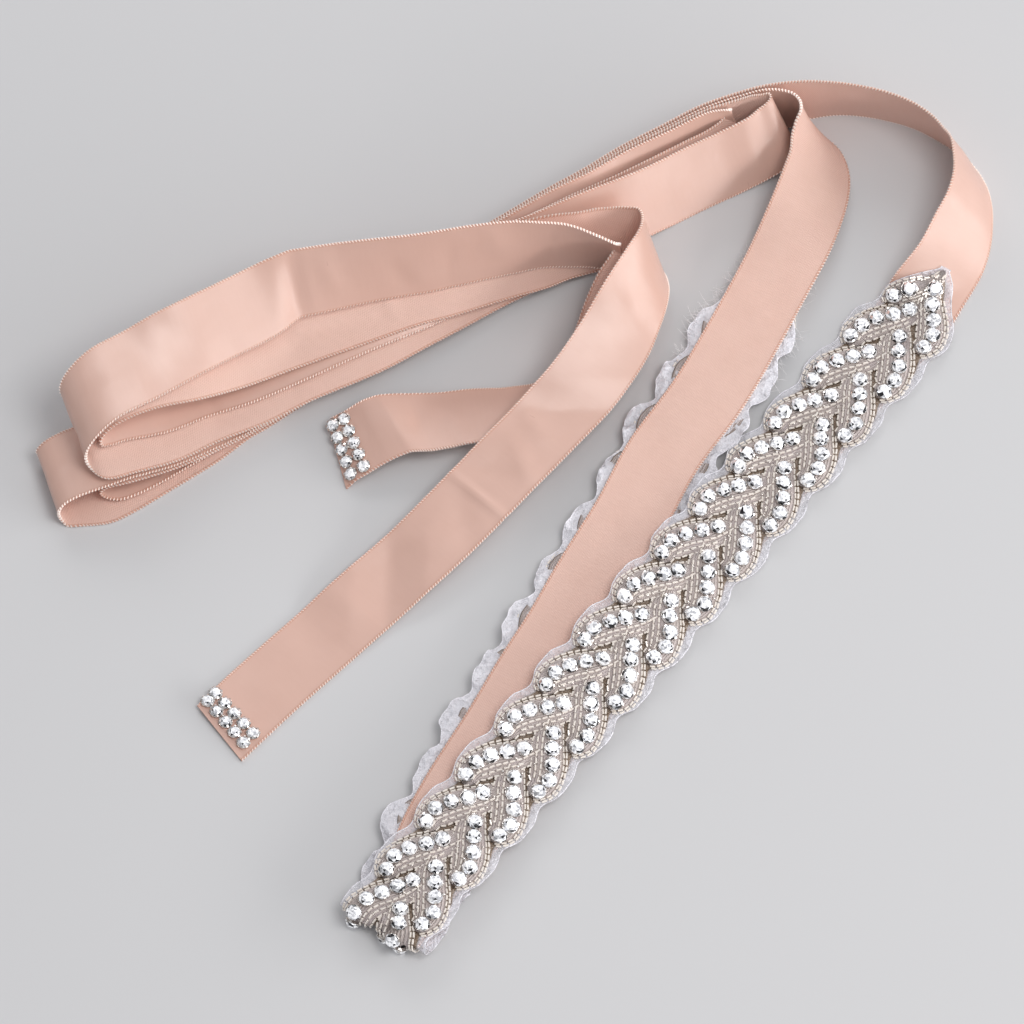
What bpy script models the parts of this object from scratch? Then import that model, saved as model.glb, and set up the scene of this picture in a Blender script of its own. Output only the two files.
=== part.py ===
# A rhinestone bridal belt, dropped on a table in loose loops.
# One satin ribbon about 3.2 m long runs through the whole belt. A plaited strip of
# crystals and glass tubes on clear film is sewn to its middle and folded in two.
# Lengths are in millimetres until the objects are made.

import math
from collections import namedtuple

import bpy
import numpy as np

MM = 0.001

RIBBON_WIDTH = 25.0
RIBBON_WALL = 1.0
SEAM_GAP = 0.3
LAYER_PITCH = 1.42
LONGEST_STEP = 8.0
SHARPEST_BEND = 9.0
SHARPEST_TWIST = 2.5
SHARP_EDGE = 35.0

FOLD_RADIUS = 1.05
FOLD_SWING = 147.0

PLAIT_LENGTH_FRONT = 310.0
PLAIT_LENGTH_BACK = 278.0
PLAIT_HALF_WIDTH = 17.0
SCALLOP_PITCH = 21.25
SCALLOP_DEPTH = 2.4
PLAIT_GAP = 0.45
PLAIT_WALL = 1.0
STRAND_HALF_WIDTH = 6.2
STRAND_OFFSET = 9.6
STRAND_RISE = 2.5
PLAIT_STEP = SCALLOP_PITCH / 5.0
PLAIT_POINTS_ACROSS = 13
TIP_LENGTH = 30.0

STONE_RADIUS = 2.0
STONE_TABLE_RADIUS = 1.15
STONE_HEIGHT = 1.5
STONE_SIDES = 8
STONES_ACROSS = 5
STONE_PITCH = 4.8

# Each row is one cross-section of the ribbon. x, y and z give its lower edge. The width
# leans away from upright by "lean" degrees, towards the plan direction "swing".
Row = namedtuple("Row", "x y z swing lean")


def rows(*lines):
    return [Row(*line) for line in lines]


TAIL_UNDER = rows(
    (-54.5, 8.5, 0.8, 104, 88),
    (-51.0, 10.7, 2.6, 109, 89),
    (-47.7, 12.1, 4.0, 110, 91),
    (-41.5, 15.2, 6.0, 110, 91),
    (-33.9, 18.0, 7.0, 113, 94),
    (-27.0, 18.7, 7.7, 105, 98),
    (-19.4, 20.1, 8.0, 100, 103),
    (-11.5, 21.8, 8.3, 97, 105),
    (6.0, 23.0, 7.5, 109, 102),
    (25.6, 29.7, 6.5, 128, 100),
)
TAIL_UNDER_TURN = rows(
    (36.2, 42.7, 5.0, 140, 97),
    (42.1, 54.7, 4.0, 144, 84),
    (44.1, 67.7, 2.5, 139, 57),
    (43.8, 77.6, 1.8, 133, 35),
    (40.1, 85.7, 1.6, 163, 11),
    (34.9, 90.0, 2.6, 259, 8),
)
FIRST_STRAND = rows(
    (28.9, 90.3, 5.4, 263, 6),
    (19.4, 88.4, 9.3, 130, 4),
    (10.5, 86.7, 11.6, 121, 7),
    (1.0, 83.1, 14.0, 110, 13),
    (-8.2, 80.0, 15.4, 114, 17),
    (-27.0, 74.8, 15.9, 114, 22),
    (-44.7, 71.3, 16.0, 113, 26),
    (-56.6, 68.2, 16.0, 111, 31),
    (-67.8, 65.0, 16.4, 109, 34),
)
FIRST_PANEL = rows(
    (-69.7, 64.2, 16.5, 109, 34),
    (-78.0, 56.5, 18.0, 116, 48),
    (-90.8, 47.7, 20.0, 117, 51),
    (-103.3, 38.1, 23.5, 118, 57),
    (-116.4, 28.3, 26.0, 116, 71),
)
LEFT_BEND_OUTER = rows(
    (-129.3, 20.1, 27.0, 113, 74),
    (-135.9, 14.7, 24.5, 112, 74),
    (-139.5, 11.3, 20.0, 111, 73),
    (-139.8, 9.5, 16.5, 111, 73),
    (-137.5, 7.2, 13.8, 111, 73),
    (-133.2, 4.9, 13.2, 112, 74),
)
FOURTH_STRAND = rows(
    (-123.0, 8.1, 12.2, 112, 79),
    (-109.2, 13.7, 10.5, 114, 85),
    (-96.1, 22.2, 8.3, 116, 86),
    (-80.9, 29.9, 6.8, 118, 86),
    (-66.4, 38.5, 6.4, 118, 84),
    (-42.4, 50.6, 5.8, 118, 78),
    (-27.0, 60.4, 5.3, 118, 68),
    (-17.8, 66.2, 5.0, 119, 60),
    (-2.0, 76.6, 4.2, 119, 48),
    (10.5, 84.2, 3.2, 119, 43),
    (28.9, 96.5, 1.6, 119, 38),
    (46.4, 108.2, 0.8, 119, 31),
    (64.5, 118.6, 0.8, 121, 31),
    (71.4, 122.2, 0.8, 124, 32),
)
RIGHT_BEND_INNER = rows(
    (76.3, 126.0, 0.9, 124, 32),
    (78.9, 129.2, 1.2, 126, 32),
    (79.6, 132.2, 1.2, 132, 27),
    (78.3, 135.8, 1.0, 143, 17),
)
LOW_LEFT_OUTER = rows(
    (-109.2, 13.2, 8.7, 114, 86),
    (-116.4, 10.0, 9.7, 113, 86),
    (-125.0, 7.0, 10.3, 112, 87),
    (-133.6, 3.4, 10.5, 111, 89),
)
LOW_LEFT_OUTER_BEND = rows(
    (-141.8, 0.1, 10.4, 109, 91),
    (-146.7, -2.4, 9.5, 108, 92),
    (-148.7, -3.9, 7.5, 108, 92),
    (-149.0, -4.0, 5.0, 107, 92),
    (-148.0, -4.8, 2.4, 107, 91),
    (-145.7, -5.9, 1.0, 107, 90),
)
BOTTOM_STRAND = rows(
    (-141.8, -5.7, 0.5, 112, 90),
    (-131.9, -4.4, 0.5, 112, 90),
    (-124.3, -0.4, 0.5, 114, 90),
    (-114.8, 6.1, 0.5, 118, 90),
    (-105.6, 12.5, 0.5, 120, 90),
    (-96.1, 19.4, 0.5, 121, 88),
    (-86.5, 27.7, 0.5, 121, 87),
    (-80.9, 31.5, 0.5, 119, 86),
    (-66.4, 42.1, 0.5, 118, 84),
    (-42.4, 56.6, 0.5, 118, 78),
    (-27.0, 65.7, 0.5, 118, 68),
    (-17.8, 71.4, 0.5, 119, 60),
    (-0.3, 83.5, 0.5, 119, 48),
    (18.4, 96.8, 0.6, 120, 45),
    (30.3, 106.7, 0.6, 120, 35),
    (41.8, 117.0, 0.6, 121, 28),
    (53.6, 126.8, 0.6, 120, 20),
    (65.5, 136.3, 0.6, 119, 14),
    (75.7, 142.6, 0.6, 120, 9),
)
OUTER_ARC_TOP = rows(
    (85.9, 147.9, 0.6, 123, 4),
    (97.0, 150.8, 0.6, 180, 2),
    (107.6, 152.7, 0.6, 239, 6),
    (116.1, 152.3, 0.6, 241, 8),
    (125.3, 150.4, 0.6, 255, 9),
    (134.2, 147.3, 0.6, 254, 11),
)
OUTER_ARC_SIDE = rows(
    (141.1, 143.2, 0.6, 250, 13),
    (147.4, 138.6, 0.6, 230, 16),
    (153.0, 132.9, 0.6, 201, 19),
    (157.2, 125.7, 0.6, 188, 26),
    (159.2, 118.1, 0.6, 180, 31),
    (159.5, 109.7, 0.6, 176, 38),
)
OUTER_ARC_END = rows(
    (158.6, 100.6, 0.6, 169, 49),
    (155.6, 90.3, 0.6, 168, 59),
    (149.7, 78.9, 0.6, 160, 72),
    (144.1, 68.7, 0.6, 149, 86),
)
FRONT_RUN = rows(
    (125.7, 44.8, 0.6, 143, 90),
    (112.0, 26.8, 0.6, 143, 90),
    (101.0, 12.2, 0.6, 143, 87),
    (90.8, -1.2, 0.6, 143, 83),
    (78.3, -17.9, 0.8, 143, 80),
    (68.4, -31.0, 1.1, 143, 78),
    (56.3, -47.3, 1.7, 143, 77),
    (21.4, -93.7, 3.2, 143, 78),
    (-4.9, -129.3, 4.9, 144, 83),
    (-20.5, -150.2, 6.3, 146, 89),
    (-27.0, -160.3, 6.4, 147, 90),
)
FOLD_START = Row(-30.0, -165.0, 6.4, FOLD_SWING, 90)
BACK_RUN = rows(
    (-27.0, -160.3, 4.3, 147, 90),
    (-20.9, -149.8, 4.3, 149, 90),
    (-13.8, -130.8, 4.3, 152, 88),
    (-5.9, -113.8, 4.3, 152, 88),
    (7.9, -89.1, 4.3, 152, 88),
    (17.8, -70.1, 4.3, 152, 88),
    (27.6, -52.6, 4.3, 153, 88),
    (39.1, -29.4, 4.3, 156, 90),
    (50.3, -9.3, 4.3, 154, 89),
    (60.9, 13.1, 4.3, 154, 89),
    (77.0, 38.5, 4.3, 154, 89),
    (98.7, 82.6, 4.3, 148, 89),
)
INNER_ARC = rows(
    (104.9, 96.2, 3.7, 157, 84),
    (108.9, 107.4, 2.8, 162, 73),
    (111.8, 119.4, 1.8, 168, 63),
    (112.2, 128.6, 1.0, 177, 53),
    (110.5, 135.6, 0.6, 184, 45),
    (107.9, 140.1, 0.6, 190, 34),
    (103.9, 143.9, 0.6, 204, 21),
    (99.0, 146.6, 0.6, 224, 11),
    (94.7, 147.7, 0.6, 238, 5),
    (90.8, 147.7, 0.6, 210, 2),
    (85.2, 146.1, 0.6, 121, 4),
)
LOW_LEFT_INNER = rows(
    (-116.4, 9.3, 2.1, 118, 90),
    (-123.7, 5.2, 2.2, 115, 90),
    (-129.3, 3.2, 2.4, 112, 90),
    (-133.6, 3.5, 3.4, 111, 90),
    (-135.2, 3.8, 5.9, 111, 90),
    (-132.9, 4.6, 7.8, 111, 90),
    (-127.3, 5.8, 8.4, 112, 90),
    (-119.1, 8.6, 8.1, 113, 88),
    (-109.2, 13.0, 7.1, 114, 86),
)
RIGHT_BEND_OUTER = rows(
    (90.6, 140.9, 2.4, 152, 21),
    (94.0, 139.0, 3.4, 144, 26),
    (95.1, 135.9, 4.0, 139, 30),
    (93.8, 132.5, 4.0, 133, 33),
    (90.1, 129.5, 3.0, 128, 34),
)
THIRD_STRAND_RIGHT = rows(
    (84.9, 126.5, 2.0, 122, 31),
    (75.0, 121.7, 1.0, 123, 31),
    (61.8, 114.6, 0.8, 120, 31),
    (46.4, 105.2, 1.6, 120, 31),
    (29.3, 94.8, 3.1, 119, 38),
)
LEFT_BEND_INNER = rows(
    (-131.8, 15.4, 17.2, 112, 77),
    (-134.5, 14.2, 18.8, 111, 75),
    (-134.9, 15.0, 20.8, 111, 75),
    (-132.2, 17.9, 23.0, 111, 75),
    (-126.3, 21.2, 24.4, 112, 75),
    (-116.4, 26.2, 23.0, 113, 74),
)
TAIL_LOOP = rows(
    (19.4, 87.0, 4.0, 112, 31),
    (26.3, 89.8, 3.0, 116, 26),
    (34.5, 93.0, 1.4, 119, 25),
    (43.8, 93.6, 0.8, 123, 29),
    (49.3, 90.8, 2.0, 122, 33),
    (51.6, 83.7, 5.0, 129, 35),
    (51.3, 74.6, 9.0, 140, 43),
    (48.7, 63.0, 12.0, 150, 55),
    (44.7, 52.0, 12.0, 152, 68),
)
TAIL_TOP = rows(
    (34.9, 35.8, 11.0, 151, 78),
    (24.7, 23.5, 10.0, 145, 84),
    (9.5, 6.3, 8.8, 142, 87),
    (-16.1, -21.4, 5.5, 137, 89),
    (-41.8, -46.0, 2.0, 137, 90),
    (-69.7, -74.1, 0.6, 137, 90),
    (-88.2, -94.2, 0.6, 126, 88),
)

# How far each hidden or half hidden strand slides across the stack, in its own plane,
# a number for each row of the strand that it is layered on.
THIRD_STRAND_SLIDES = (11.1, 10.2, 9.1, 8.1, 7.0, 7.5, 5.7, 5.1, 2.3, 0.8)
SECOND_STRAND_SLIDES = (15.2, 13.6, 11.6, 9.9, 7.3, 5.2, 2.4, 0.2)
SECOND_STRAND_LIFTS = (7.5, 3.5, 1.2, 0.0, 0.0, 0.0, 0.0, 0.0)
SECOND_STRAND_LIFT_LEAN = 1.7


def width_direction(swing, lean):
    swing = math.radians(swing)
    lean = math.radians(lean)
    flat = math.sin(lean)
    return np.array([flat * math.cos(swing), flat * math.sin(swing), math.cos(lean)])


def angle_between(first, second):
    return math.degrees(math.acos(max(-1.0, min(1.0, float(np.dot(first, second))))))


def face_direction(table, index):
    before = np.array(table[max(index - 1, 0)][:3])
    after = np.array(table[min(index + 1, len(table) - 1)][:3])
    face = np.cross(after - before, width_direction(*table[index][3:]))
    return face / np.linalg.norm(face)


# A strand that lies on another one, "count" layers up, slid along its own width.
def layered(table, count, slides=None, pitch=LAYER_PITCH, floor=0.6):
    result = []
    for index, row in enumerate(table):
        across = width_direction(row.swing, row.lean)
        slide = slides[index] if slides else 0.0
        place = np.array(row[:3]) + face_direction(table, index) * pitch * count
        place = place + across * slide
        if place[2] < floor and across[2] > 0.02:
            place = place + across * (floor - place[2]) / across[2]
        result.append(Row(place[0], place[1], place[2], row.swing, row.lean))
    return result


# The second strand climbs away from the stack towards the left bend.
def second_strand():
    table = layered(FOURTH_STRAND[2:10], 2, SECOND_STRAND_SLIDES, pitch=LAYER_PITCH + 0.04)
    result = []
    for row, lift in zip(table, SECOND_STRAND_LIFTS):
        lean = row.lean - SECOND_STRAND_LIFT_LEAN * min(lift, 6.0)
        result.append(Row(row.x, row.y - 0.58 * lift, row.z + lift, row.swing, lean))
    return result


# The ribbon turns under itself at the fold, about a line along its width.
def fold_rows():
    heading = math.radians(FOLD_SWING + 90.0)
    result = []
    for turn in (0, 36, 72, 108, 144, 180):
        angle = math.radians(turn)
        out = FOLD_RADIUS * math.sin(angle)
        result.append(Row(
            FOLD_START.x + out * math.cos(heading),
            FOLD_START.y + out * math.sin(heading),
            FOLD_START.z - FOLD_RADIUS * (1.0 - math.cos(angle)),
            FOLD_SWING,
            90,
        ))
    return result


def backwards(table):
    return list(reversed(table))


# Layers of the stack between the bends, from the table of the strand that lies lowest.
FIFTH_STRAND = (
    backwards(layered(BOTTOM_STRAND[13:18], 3, pitch=1.46))
    + backwards(layered(BOTTOM_STRAND[6:13], 3))
)
SIXTH_STRAND = (
    layered(BOTTOM_STRAND[6:13], 2)
    + layered(BOTTOM_STRAND[13:19], 2, pitch=1.46)
)
SEVENTH_STRAND = (
    backwards(layered(BOTTOM_STRAND[13:19], 1))
    + backwards(layered(BOTTOM_STRAND[4:13], 1, (3.5, 3.0, 1.5, 0.5, 0.0, 0.0, 0.0, 0.0, 0.0)))
)
THIRD_STRAND = (
    THIRD_STRAND_RIGHT
    + backwards(layered(FOURTH_STRAND[:10], 1, THIRD_STRAND_SLIDES, pitch=LAYER_PITCH + 0.08))
)

# The ribbon from one cut end to the other, a node name and a table for each stretch.
STRETCHES = (
    ("tail_under", TAIL_UNDER),
    ("tail_under_turn", TAIL_UNDER_TURN),
    ("first_strand", FIRST_STRAND),
    ("first_panel", FIRST_PANEL),
    ("left_bend_outer", LEFT_BEND_OUTER),
    ("fourth_strand", FOURTH_STRAND),
    ("right_bend_inner", RIGHT_BEND_INNER),
    ("fifth_strand", FIFTH_STRAND),
    ("low_left_outer", LOW_LEFT_OUTER),
    ("low_left_outer_bend", LOW_LEFT_OUTER_BEND),
    ("bottom_strand", BOTTOM_STRAND),
    ("outer_arc_top", OUTER_ARC_TOP),
    ("outer_arc_side", OUTER_ARC_SIDE),
    ("outer_arc_end", OUTER_ARC_END),
    ("front_run", FRONT_RUN),
    ("fold", fold_rows()),
    ("back_run", BACK_RUN),
    ("inner_arc", INNER_ARC),
    ("seventh_strand", SEVENTH_STRAND),
    ("low_left_inner", LOW_LEFT_INNER),
    ("sixth_strand", SIXTH_STRAND),
    ("right_bend_outer", RIGHT_BEND_OUTER),
    ("third_strand", THIRD_STRAND),
    ("left_bend_inner", LEFT_BEND_INNER),
    ("second_strand", second_strand()),
    ("tail_loop", TAIL_LOOP),
    ("tail_top", TAIL_TOP),
)


# One smooth curve through all rows: the lower edge and the width direction at any place,
# with the distance along the ribbon's middle as the parameter.
class Ribbon:

    def __init__(self, table):
        self.places = np.array([row[:3] for row in table], float)
        self.widths = np.array([width_direction(row.swing, row.lean) for row in table])
        middles = self.places + self.widths * RIBBON_WIDTH / 2.0
        self.chords = np.maximum(np.linalg.norm(np.diff(middles, axis=0), axis=1), 1e-6)
        self.knots = np.concatenate([[0.0], np.cumsum(np.sqrt(self.chords))])
        self.place_slopes = self.slopes(self.places)
        self.width_slopes = self.slopes(self.widths)
        self.measure()

    def slopes(self, values):
        steps = np.diff(self.knots)[:, None]
        rates = np.diff(values, axis=0) / steps
        result = np.zeros_like(values)
        result[0] = rates[0]
        result[-1] = rates[-1]
        total = steps[:-1] + steps[1:]
        result[1:-1] = (rates[:-1] * steps[1:] + rates[1:] * steps[:-1]) / total
        return result

    def blend(self, values, slopes, span, part):
        step = self.knots[span + 1] - self.knots[span]
        square = part * part
        cube = square * part
        return (
            (2 * cube - 3 * square + 1) * values[span]
            + (cube - 2 * square + part) * step * slopes[span]
            + (3 * square - 2 * cube) * values[span + 1]
            + (cube - square) * step * slopes[span + 1]
        )

    def raw(self, span, part):
        place = self.blend(self.places, self.place_slopes, span, part)
        width = self.blend(self.widths, self.width_slopes, span, part)
        return place, width / np.linalg.norm(width)

    # A dense list of samples, and where each row lies along the ribbon.
    def measure(self):
        places = []
        widths = []
        firsts = []
        for span, chord in enumerate(self.chords):
            count = max(4, int(round(chord)))
            firsts.append(len(places))
            for number in range(count):
                place, width = self.raw(span, number / count)
                places.append(place)
                widths.append(width)
        firsts.append(len(places))
        place, width = self.raw(len(self.chords) - 1, 1.0)
        places.append(place)
        widths.append(width)
        self.lower = np.array(places)
        self.across = np.array(widths)
        self.middle = self.lower + self.across * RIBBON_WIDTH / 2.0
        steps = np.linalg.norm(np.diff(self.middle, axis=0), axis=1)
        self.along = np.concatenate([[0.0], np.cumsum(steps)])
        self.row_along = self.along[firsts]
        self.heading = np.gradient(self.middle, axis=0)
        self.heading /= np.linalg.norm(self.heading, axis=1)[:, None]
        face = np.cross(self.heading, self.across)
        self.face = face / np.linalg.norm(face, axis=1)[:, None]

    def at(self, distance):
        def read(values):
            return np.array([np.interp(distance, self.along, values[:, axis]) for axis in range(3)])
        across = read(self.across)
        across /= np.linalg.norm(across)
        face = read(self.face)
        face -= across * np.dot(face, across)
        face /= np.linalg.norm(face)
        return read(self.middle), across, face

    # Places for cross-sections, closer together where the ribbon turns or twists.
    def stations(self, start, end):
        result = [start]
        last = self.at(start)
        inner = self.along[(self.along > start + 0.4) & (self.along < end - 0.4)]
        for distance in inner:
            here = self.at(distance)
            twist = angle_between(here[1], last[1])
            bend = angle_between(here[2], last[2])
            turned = twist > SHARPEST_TWIST or bend > SHARPEST_BEND
            if turned or distance - result[-1] > LONGEST_STEP:
                if distance - result[-1] > 0.35:
                    result.append(distance)
                    last = here
        if end - result[-1] < 0.3 and len(result) > 1:
            result.pop()
        result.append(end)
        return result


# A cross-section that is all but down on the table rests on it: how far it moves up.
def seating(low):
    if low < 0.7:
        return -low
    if low < 1.5:
        return (low - 0.7) * 1.875 - low
    return 0.0


def ribbon_section(ribbon, distance):
    middle, across, face = ribbon.at(distance)
    half = RIBBON_WIDTH / 2.0
    corners = np.array([
        middle - across * half + face * RIBBON_WALL / 2.0,
        middle - across * half - face * RIBBON_WALL / 2.0,
        middle + across * half - face * RIBBON_WALL / 2.0,
        middle + across * half + face * RIBBON_WALL / 2.0,
    ])
    corners[:, 2] += seating(corners[:, 2].min())
    return corners


# Closes a loft through equal rings of points with a cap at each end.
def loft(rings):
    size = len(rings[0])
    points = [tuple(point) for ring in rings for point in ring]
    faces = []
    for index in range(len(rings) - 1):
        near = index * size
        far = near + size
        for corner in range(size):
            following = (corner + 1) % size
            faces.append((near + corner, near + following, far + following, far + corner))
    faces.append(tuple(range(size - 1, -1, -1)))
    last = (len(rings) - 1) * size
    faces.append(tuple(last + corner for corner in range(size)))
    return points, faces


def signed_volume(points, faces):
    total = 0.0
    for face in faces:
        first = np.array(points[face[0]])
        for index in range(1, len(face) - 1):
            second = np.array(points[face[index]])
            third = np.array(points[face[index + 1]])
            total += float(np.dot(first, np.cross(second, third)))
    return total / 6.0


def material(name, colour, roughness, metallic):
    result = bpy.data.materials.new(name)
    result.use_nodes = True
    shader = result.node_tree.nodes["Principled BSDF"]
    shader.inputs["Base Color"].default_value = (*colour, 1.0)
    shader.inputs["Roughness"].default_value = roughness
    shader.inputs["Metallic"].default_value = metallic
    return result


class Model:

    def __init__(self):
        self.solids = []

    def add(self, name, points, faces, look):
        if signed_volume(points, faces) < 0.0:
            faces = [tuple(reversed(face)) for face in faces]
        self.solids.append((name, np.array(points, float), faces, look))

    # The origin is the middle of the base of the box round everything.
    def finish(self):
        everything = np.concatenate([points for name, points, faces, look in self.solids])
        low = everything.min(axis=0)
        high = everything.max(axis=0)
        centre = np.array([(low[0] + high[0]) / 2.0, (low[1] + high[1]) / 2.0, low[2]])
        for name, points, faces, look in self.solids:
            mesh = bpy.data.meshes.new(name)
            shifted = (points - centre) * MM
            mesh.from_pydata([tuple(point) for point in shifted], [], faces)
            mesh.materials.append(material(name + "_look", *look))
            mesh.validate()
            mesh.shade_smooth()
            mesh.set_sharp_from_angle(angle=math.radians(SHARP_EDGE))
            mesh.update()
            item = bpy.data.objects.new(name, mesh)
            bpy.context.scene.collection.objects.link(item)
        print("shift", [round(float(value), 3) for value in centre])
        print("size", [round(float(value), 2) for value in high - low])


SATIN = ((0.83, 0.58, 0.50), 0.42, 0.0)
GLASS = ((0.86, 0.85, 0.83), 0.25, 0.1)
CRYSTAL = ((0.95, 0.95, 0.96), 0.08, 0.1)


def add_ribbon(model, ribbon):
    first = 0
    for number, (name, table) in enumerate(STRETCHES):
        last = first + len(table)
        start = ribbon.row_along[first]
        end = ribbon.row_along[min(last, len(ribbon.row_along) - 1)]
        if number > 0:
            start += SEAM_GAP / 2.0
        if number < len(STRETCHES) - 1:
            end -= SEAM_GAP / 2.0
        rings = [ribbon_section(ribbon, place) for place in ribbon.stations(start, end)]
        model.add(name, *loft(rings), SATIN)
        first = last


# Half the strip's width on one side: scallops, offset by half a pitch from side to side,
# and a leaf-shaped tip at each end.
def strip_edge(place, length, side):
    phase = place / SCALLOP_PITCH + (0.5 if side < 0 else 0.0)
    width = PLAIT_HALF_WIDTH - SCALLOP_DEPTH * (0.5 + 0.5 * math.cos(2.0 * math.pi * phase)) ** 2
    tip = min(place, length - place) / TIP_LENGTH
    if tip < 1.0:
        width *= max(0.12, math.sin(math.pi / 2.0 * max(tip, 0.0)) ** 0.8)
    return width


# The raised height of the plait at a place: three strands that swing from side to side.
def plait_height(place, offset, length):
    best = 0.0
    period = 3.0 * SCALLOP_PITCH
    for strand in range(3):
        phase = 2.0 * math.pi * ((place + SCALLOP_PITCH / 4.0) / period + strand / 3.0)
        middle = STRAND_OFFSET * math.sin(phase)
        away = abs(offset - middle) / STRAND_HALF_WIDTH
        if away < 1.0:
            over = 0.75 + 0.25 * math.cos(3.0 * phase)
            best = max(best, STRAND_RISE * over * math.sqrt(1.0 - away * away))
    tip = min(place, length - place) / 8.0
    return best * max(0.0, min(1.0, tip))


def strip_section(ribbon, origin, place, length):
    middle, across, face = ribbon.at(origin + place)
    face = -face
    middle[2] = ribbon_section(ribbon, origin + place)[:, 2].mean()
    left = strip_edge(place, length, 1)
    right = strip_edge(place, length, -1)
    under = RIBBON_WALL / 2.0 + PLAIT_GAP
    over = under + PLAIT_WALL
    ring = []
    for index in range(PLAIT_POINTS_ACROSS):
        share = index / (PLAIT_POINTS_ACROSS - 1)
        offset = -right + (left + right) * share
        height = over
        if 0 < index < PLAIT_POINTS_ACROSS - 1:
            height += plait_height(place, offset, length)
        ring.append(middle + across * offset + face * height)
    ring.append(middle + across * left + face * under)
    ring.append(middle - across * right + face * under)
    ring = np.array(ring)
    ring[:, 2] = np.maximum(ring[:, 2], 0.0)
    return ring


def add_plait(model, ribbon):
    tables = [table for name, table in STRETCHES]
    names = [name for name, table in STRETCHES]
    rows_before_fold = sum(len(table) for table in tables[:names.index("fold")])
    fold_start = ribbon.row_along[rows_before_fold]
    fold_end = ribbon.row_along[rows_before_fold + len(fold_rows())]
    origin = fold_start - PLAIT_LENGTH_FRONT
    length = fold_end + PLAIT_LENGTH_BACK - origin
    turn_end = fold_end - origin
    front = list(np.arange(0.6, PLAIT_LENGTH_FRONT - 2.0, PLAIT_STEP))
    turn = list(np.linspace(PLAIT_LENGTH_FRONT, turn_end - 0.2, 9))
    back = list(np.arange(turn_end + 2.0, length - 2.0, PLAIT_STEP)) + [length - 0.6]
    turn_rings = [strip_section(ribbon, origin, place, length) for place in front + turn]
    back_rings = [strip_section(ribbon, origin, place, length) for place in [turn_end + 0.2] + back]
    model.add("plait_front", *loft(turn_rings), GLASS)
    model.add("plait_back", *loft(back_rings), GLASS)


def add_stone(model, name, centre, axis, side):
    other = np.cross(axis, side)
    rings = []
    for height, radius in ((0.0, STONE_RADIUS), (STONE_HEIGHT, STONE_TABLE_RADIUS)):
        ring = []
        for corner in range(STONE_SIDES):
            angle = 2.0 * math.pi * corner / STONE_SIDES
            spoke = side * math.cos(angle) + other * math.sin(angle)
            ring.append(centre + axis * height + spoke * radius)
        rings.append(ring)
    model.add(name, *loft(rings), CRYSTAL)


# Two lines of five flat-backed stones near a cut end, on the face that shows.
def add_end_stones(model, ribbon, prefix, distances, lift, first_offset):
    total = ribbon.along[-1]
    for line, inset in enumerate(distances):
        for number in range(STONES_ACROSS):
            offset = first_offset - STONE_PITCH * number
            place = inset if prefix == "under" else total - inset
            middle, across, face = ribbon.at(place)
            up = face if face[2] > 0.0 else -face
            middle[2] = ribbon_section(ribbon, place)[:, 2].mean()
            centre = middle + across * offset + up * (RIBBON_WALL / 2.0 + lift)
            name = "stone_%s_%d_%d" % (prefix, line + 1, number + 1)
            add_stone(model, name, centre, up, across)


for item in list(bpy.data.objects):
    bpy.data.objects.remove(item, do_unlink=True)

whole = Ribbon([row for name, table in STRETCHES for row in table])
belt = Model()
add_ribbon(belt, whole)
add_plait(belt, whole)
add_end_stones(belt, whole, "top", (4.0, 8.4), SEAM_GAP, 10.8)
add_end_stones(belt, whole, "under", (2.6, 7.0), 2.0 * SEAM_GAP, 9.6)
belt.finish()
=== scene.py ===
import math
from collections import namedtuple

import bpy
import numpy as np
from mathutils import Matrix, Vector


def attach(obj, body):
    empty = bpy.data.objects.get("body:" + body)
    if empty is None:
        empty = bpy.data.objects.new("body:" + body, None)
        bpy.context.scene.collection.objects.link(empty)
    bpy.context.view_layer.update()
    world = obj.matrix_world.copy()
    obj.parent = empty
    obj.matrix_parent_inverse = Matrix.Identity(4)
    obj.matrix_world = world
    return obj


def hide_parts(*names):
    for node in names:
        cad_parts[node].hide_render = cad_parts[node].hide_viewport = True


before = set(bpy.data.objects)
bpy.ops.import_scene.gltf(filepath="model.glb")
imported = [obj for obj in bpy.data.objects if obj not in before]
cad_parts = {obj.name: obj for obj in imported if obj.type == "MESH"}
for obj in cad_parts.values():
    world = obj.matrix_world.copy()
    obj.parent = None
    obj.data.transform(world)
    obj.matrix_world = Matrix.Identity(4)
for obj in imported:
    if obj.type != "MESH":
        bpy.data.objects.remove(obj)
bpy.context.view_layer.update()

# Lengths here are millimetres and become metres when a mesh is made.
mm = 0.001
fullTurn = 2.0 * math.pi

ribbonSizes = {
    "width": 25.0,
    "wall": 1.0,            # the frame's wall, which sets how the ribbon rests
    "cloth": 0.45,          # the cloth's own thickness
    "layerPitch": 1.42,     # from one layer of the stack to the next
    "foldRadius": 1.05,
    "foldSwing": 147.0,
    "restBelow": 0.7,       # a lower edge below this lies on the table
    "freeAbove": 1.5,       # and one above this stays where its row puts it
    "pointsAcross": 13,
    "longestStep": 1.12,
    "sharpestBend": 7.0,    # degrees from one section to the next
    "boxMiddle": (1.476, -7.955, 0.0),      # where the object's middle lies in the tables
}

# A row is one section of the ribbon. x, y and z give its lower edge, and the width leans
# from upright by "lean" degrees towards the plan direction "swing".
Row = namedtuple("Row", "x y z swing lean")


def rows(*lines):
    return [Row(*line) for line in lines]


def widthDirection(swing, lean):
    swing = math.radians(swing)
    lean = math.radians(lean)
    flat = math.sin(lean)
    return np.array([flat * math.cos(swing), flat * math.sin(swing), math.cos(lean)])


def faceDirection(table, index):
    before = np.array(table[max(index - 1, 0)][:3])
    after = np.array(table[min(index + 1, len(table) - 1)][:3])
    face = np.cross(after - before, widthDirection(*table[index][3:]))
    return face / np.linalg.norm(face)


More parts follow.
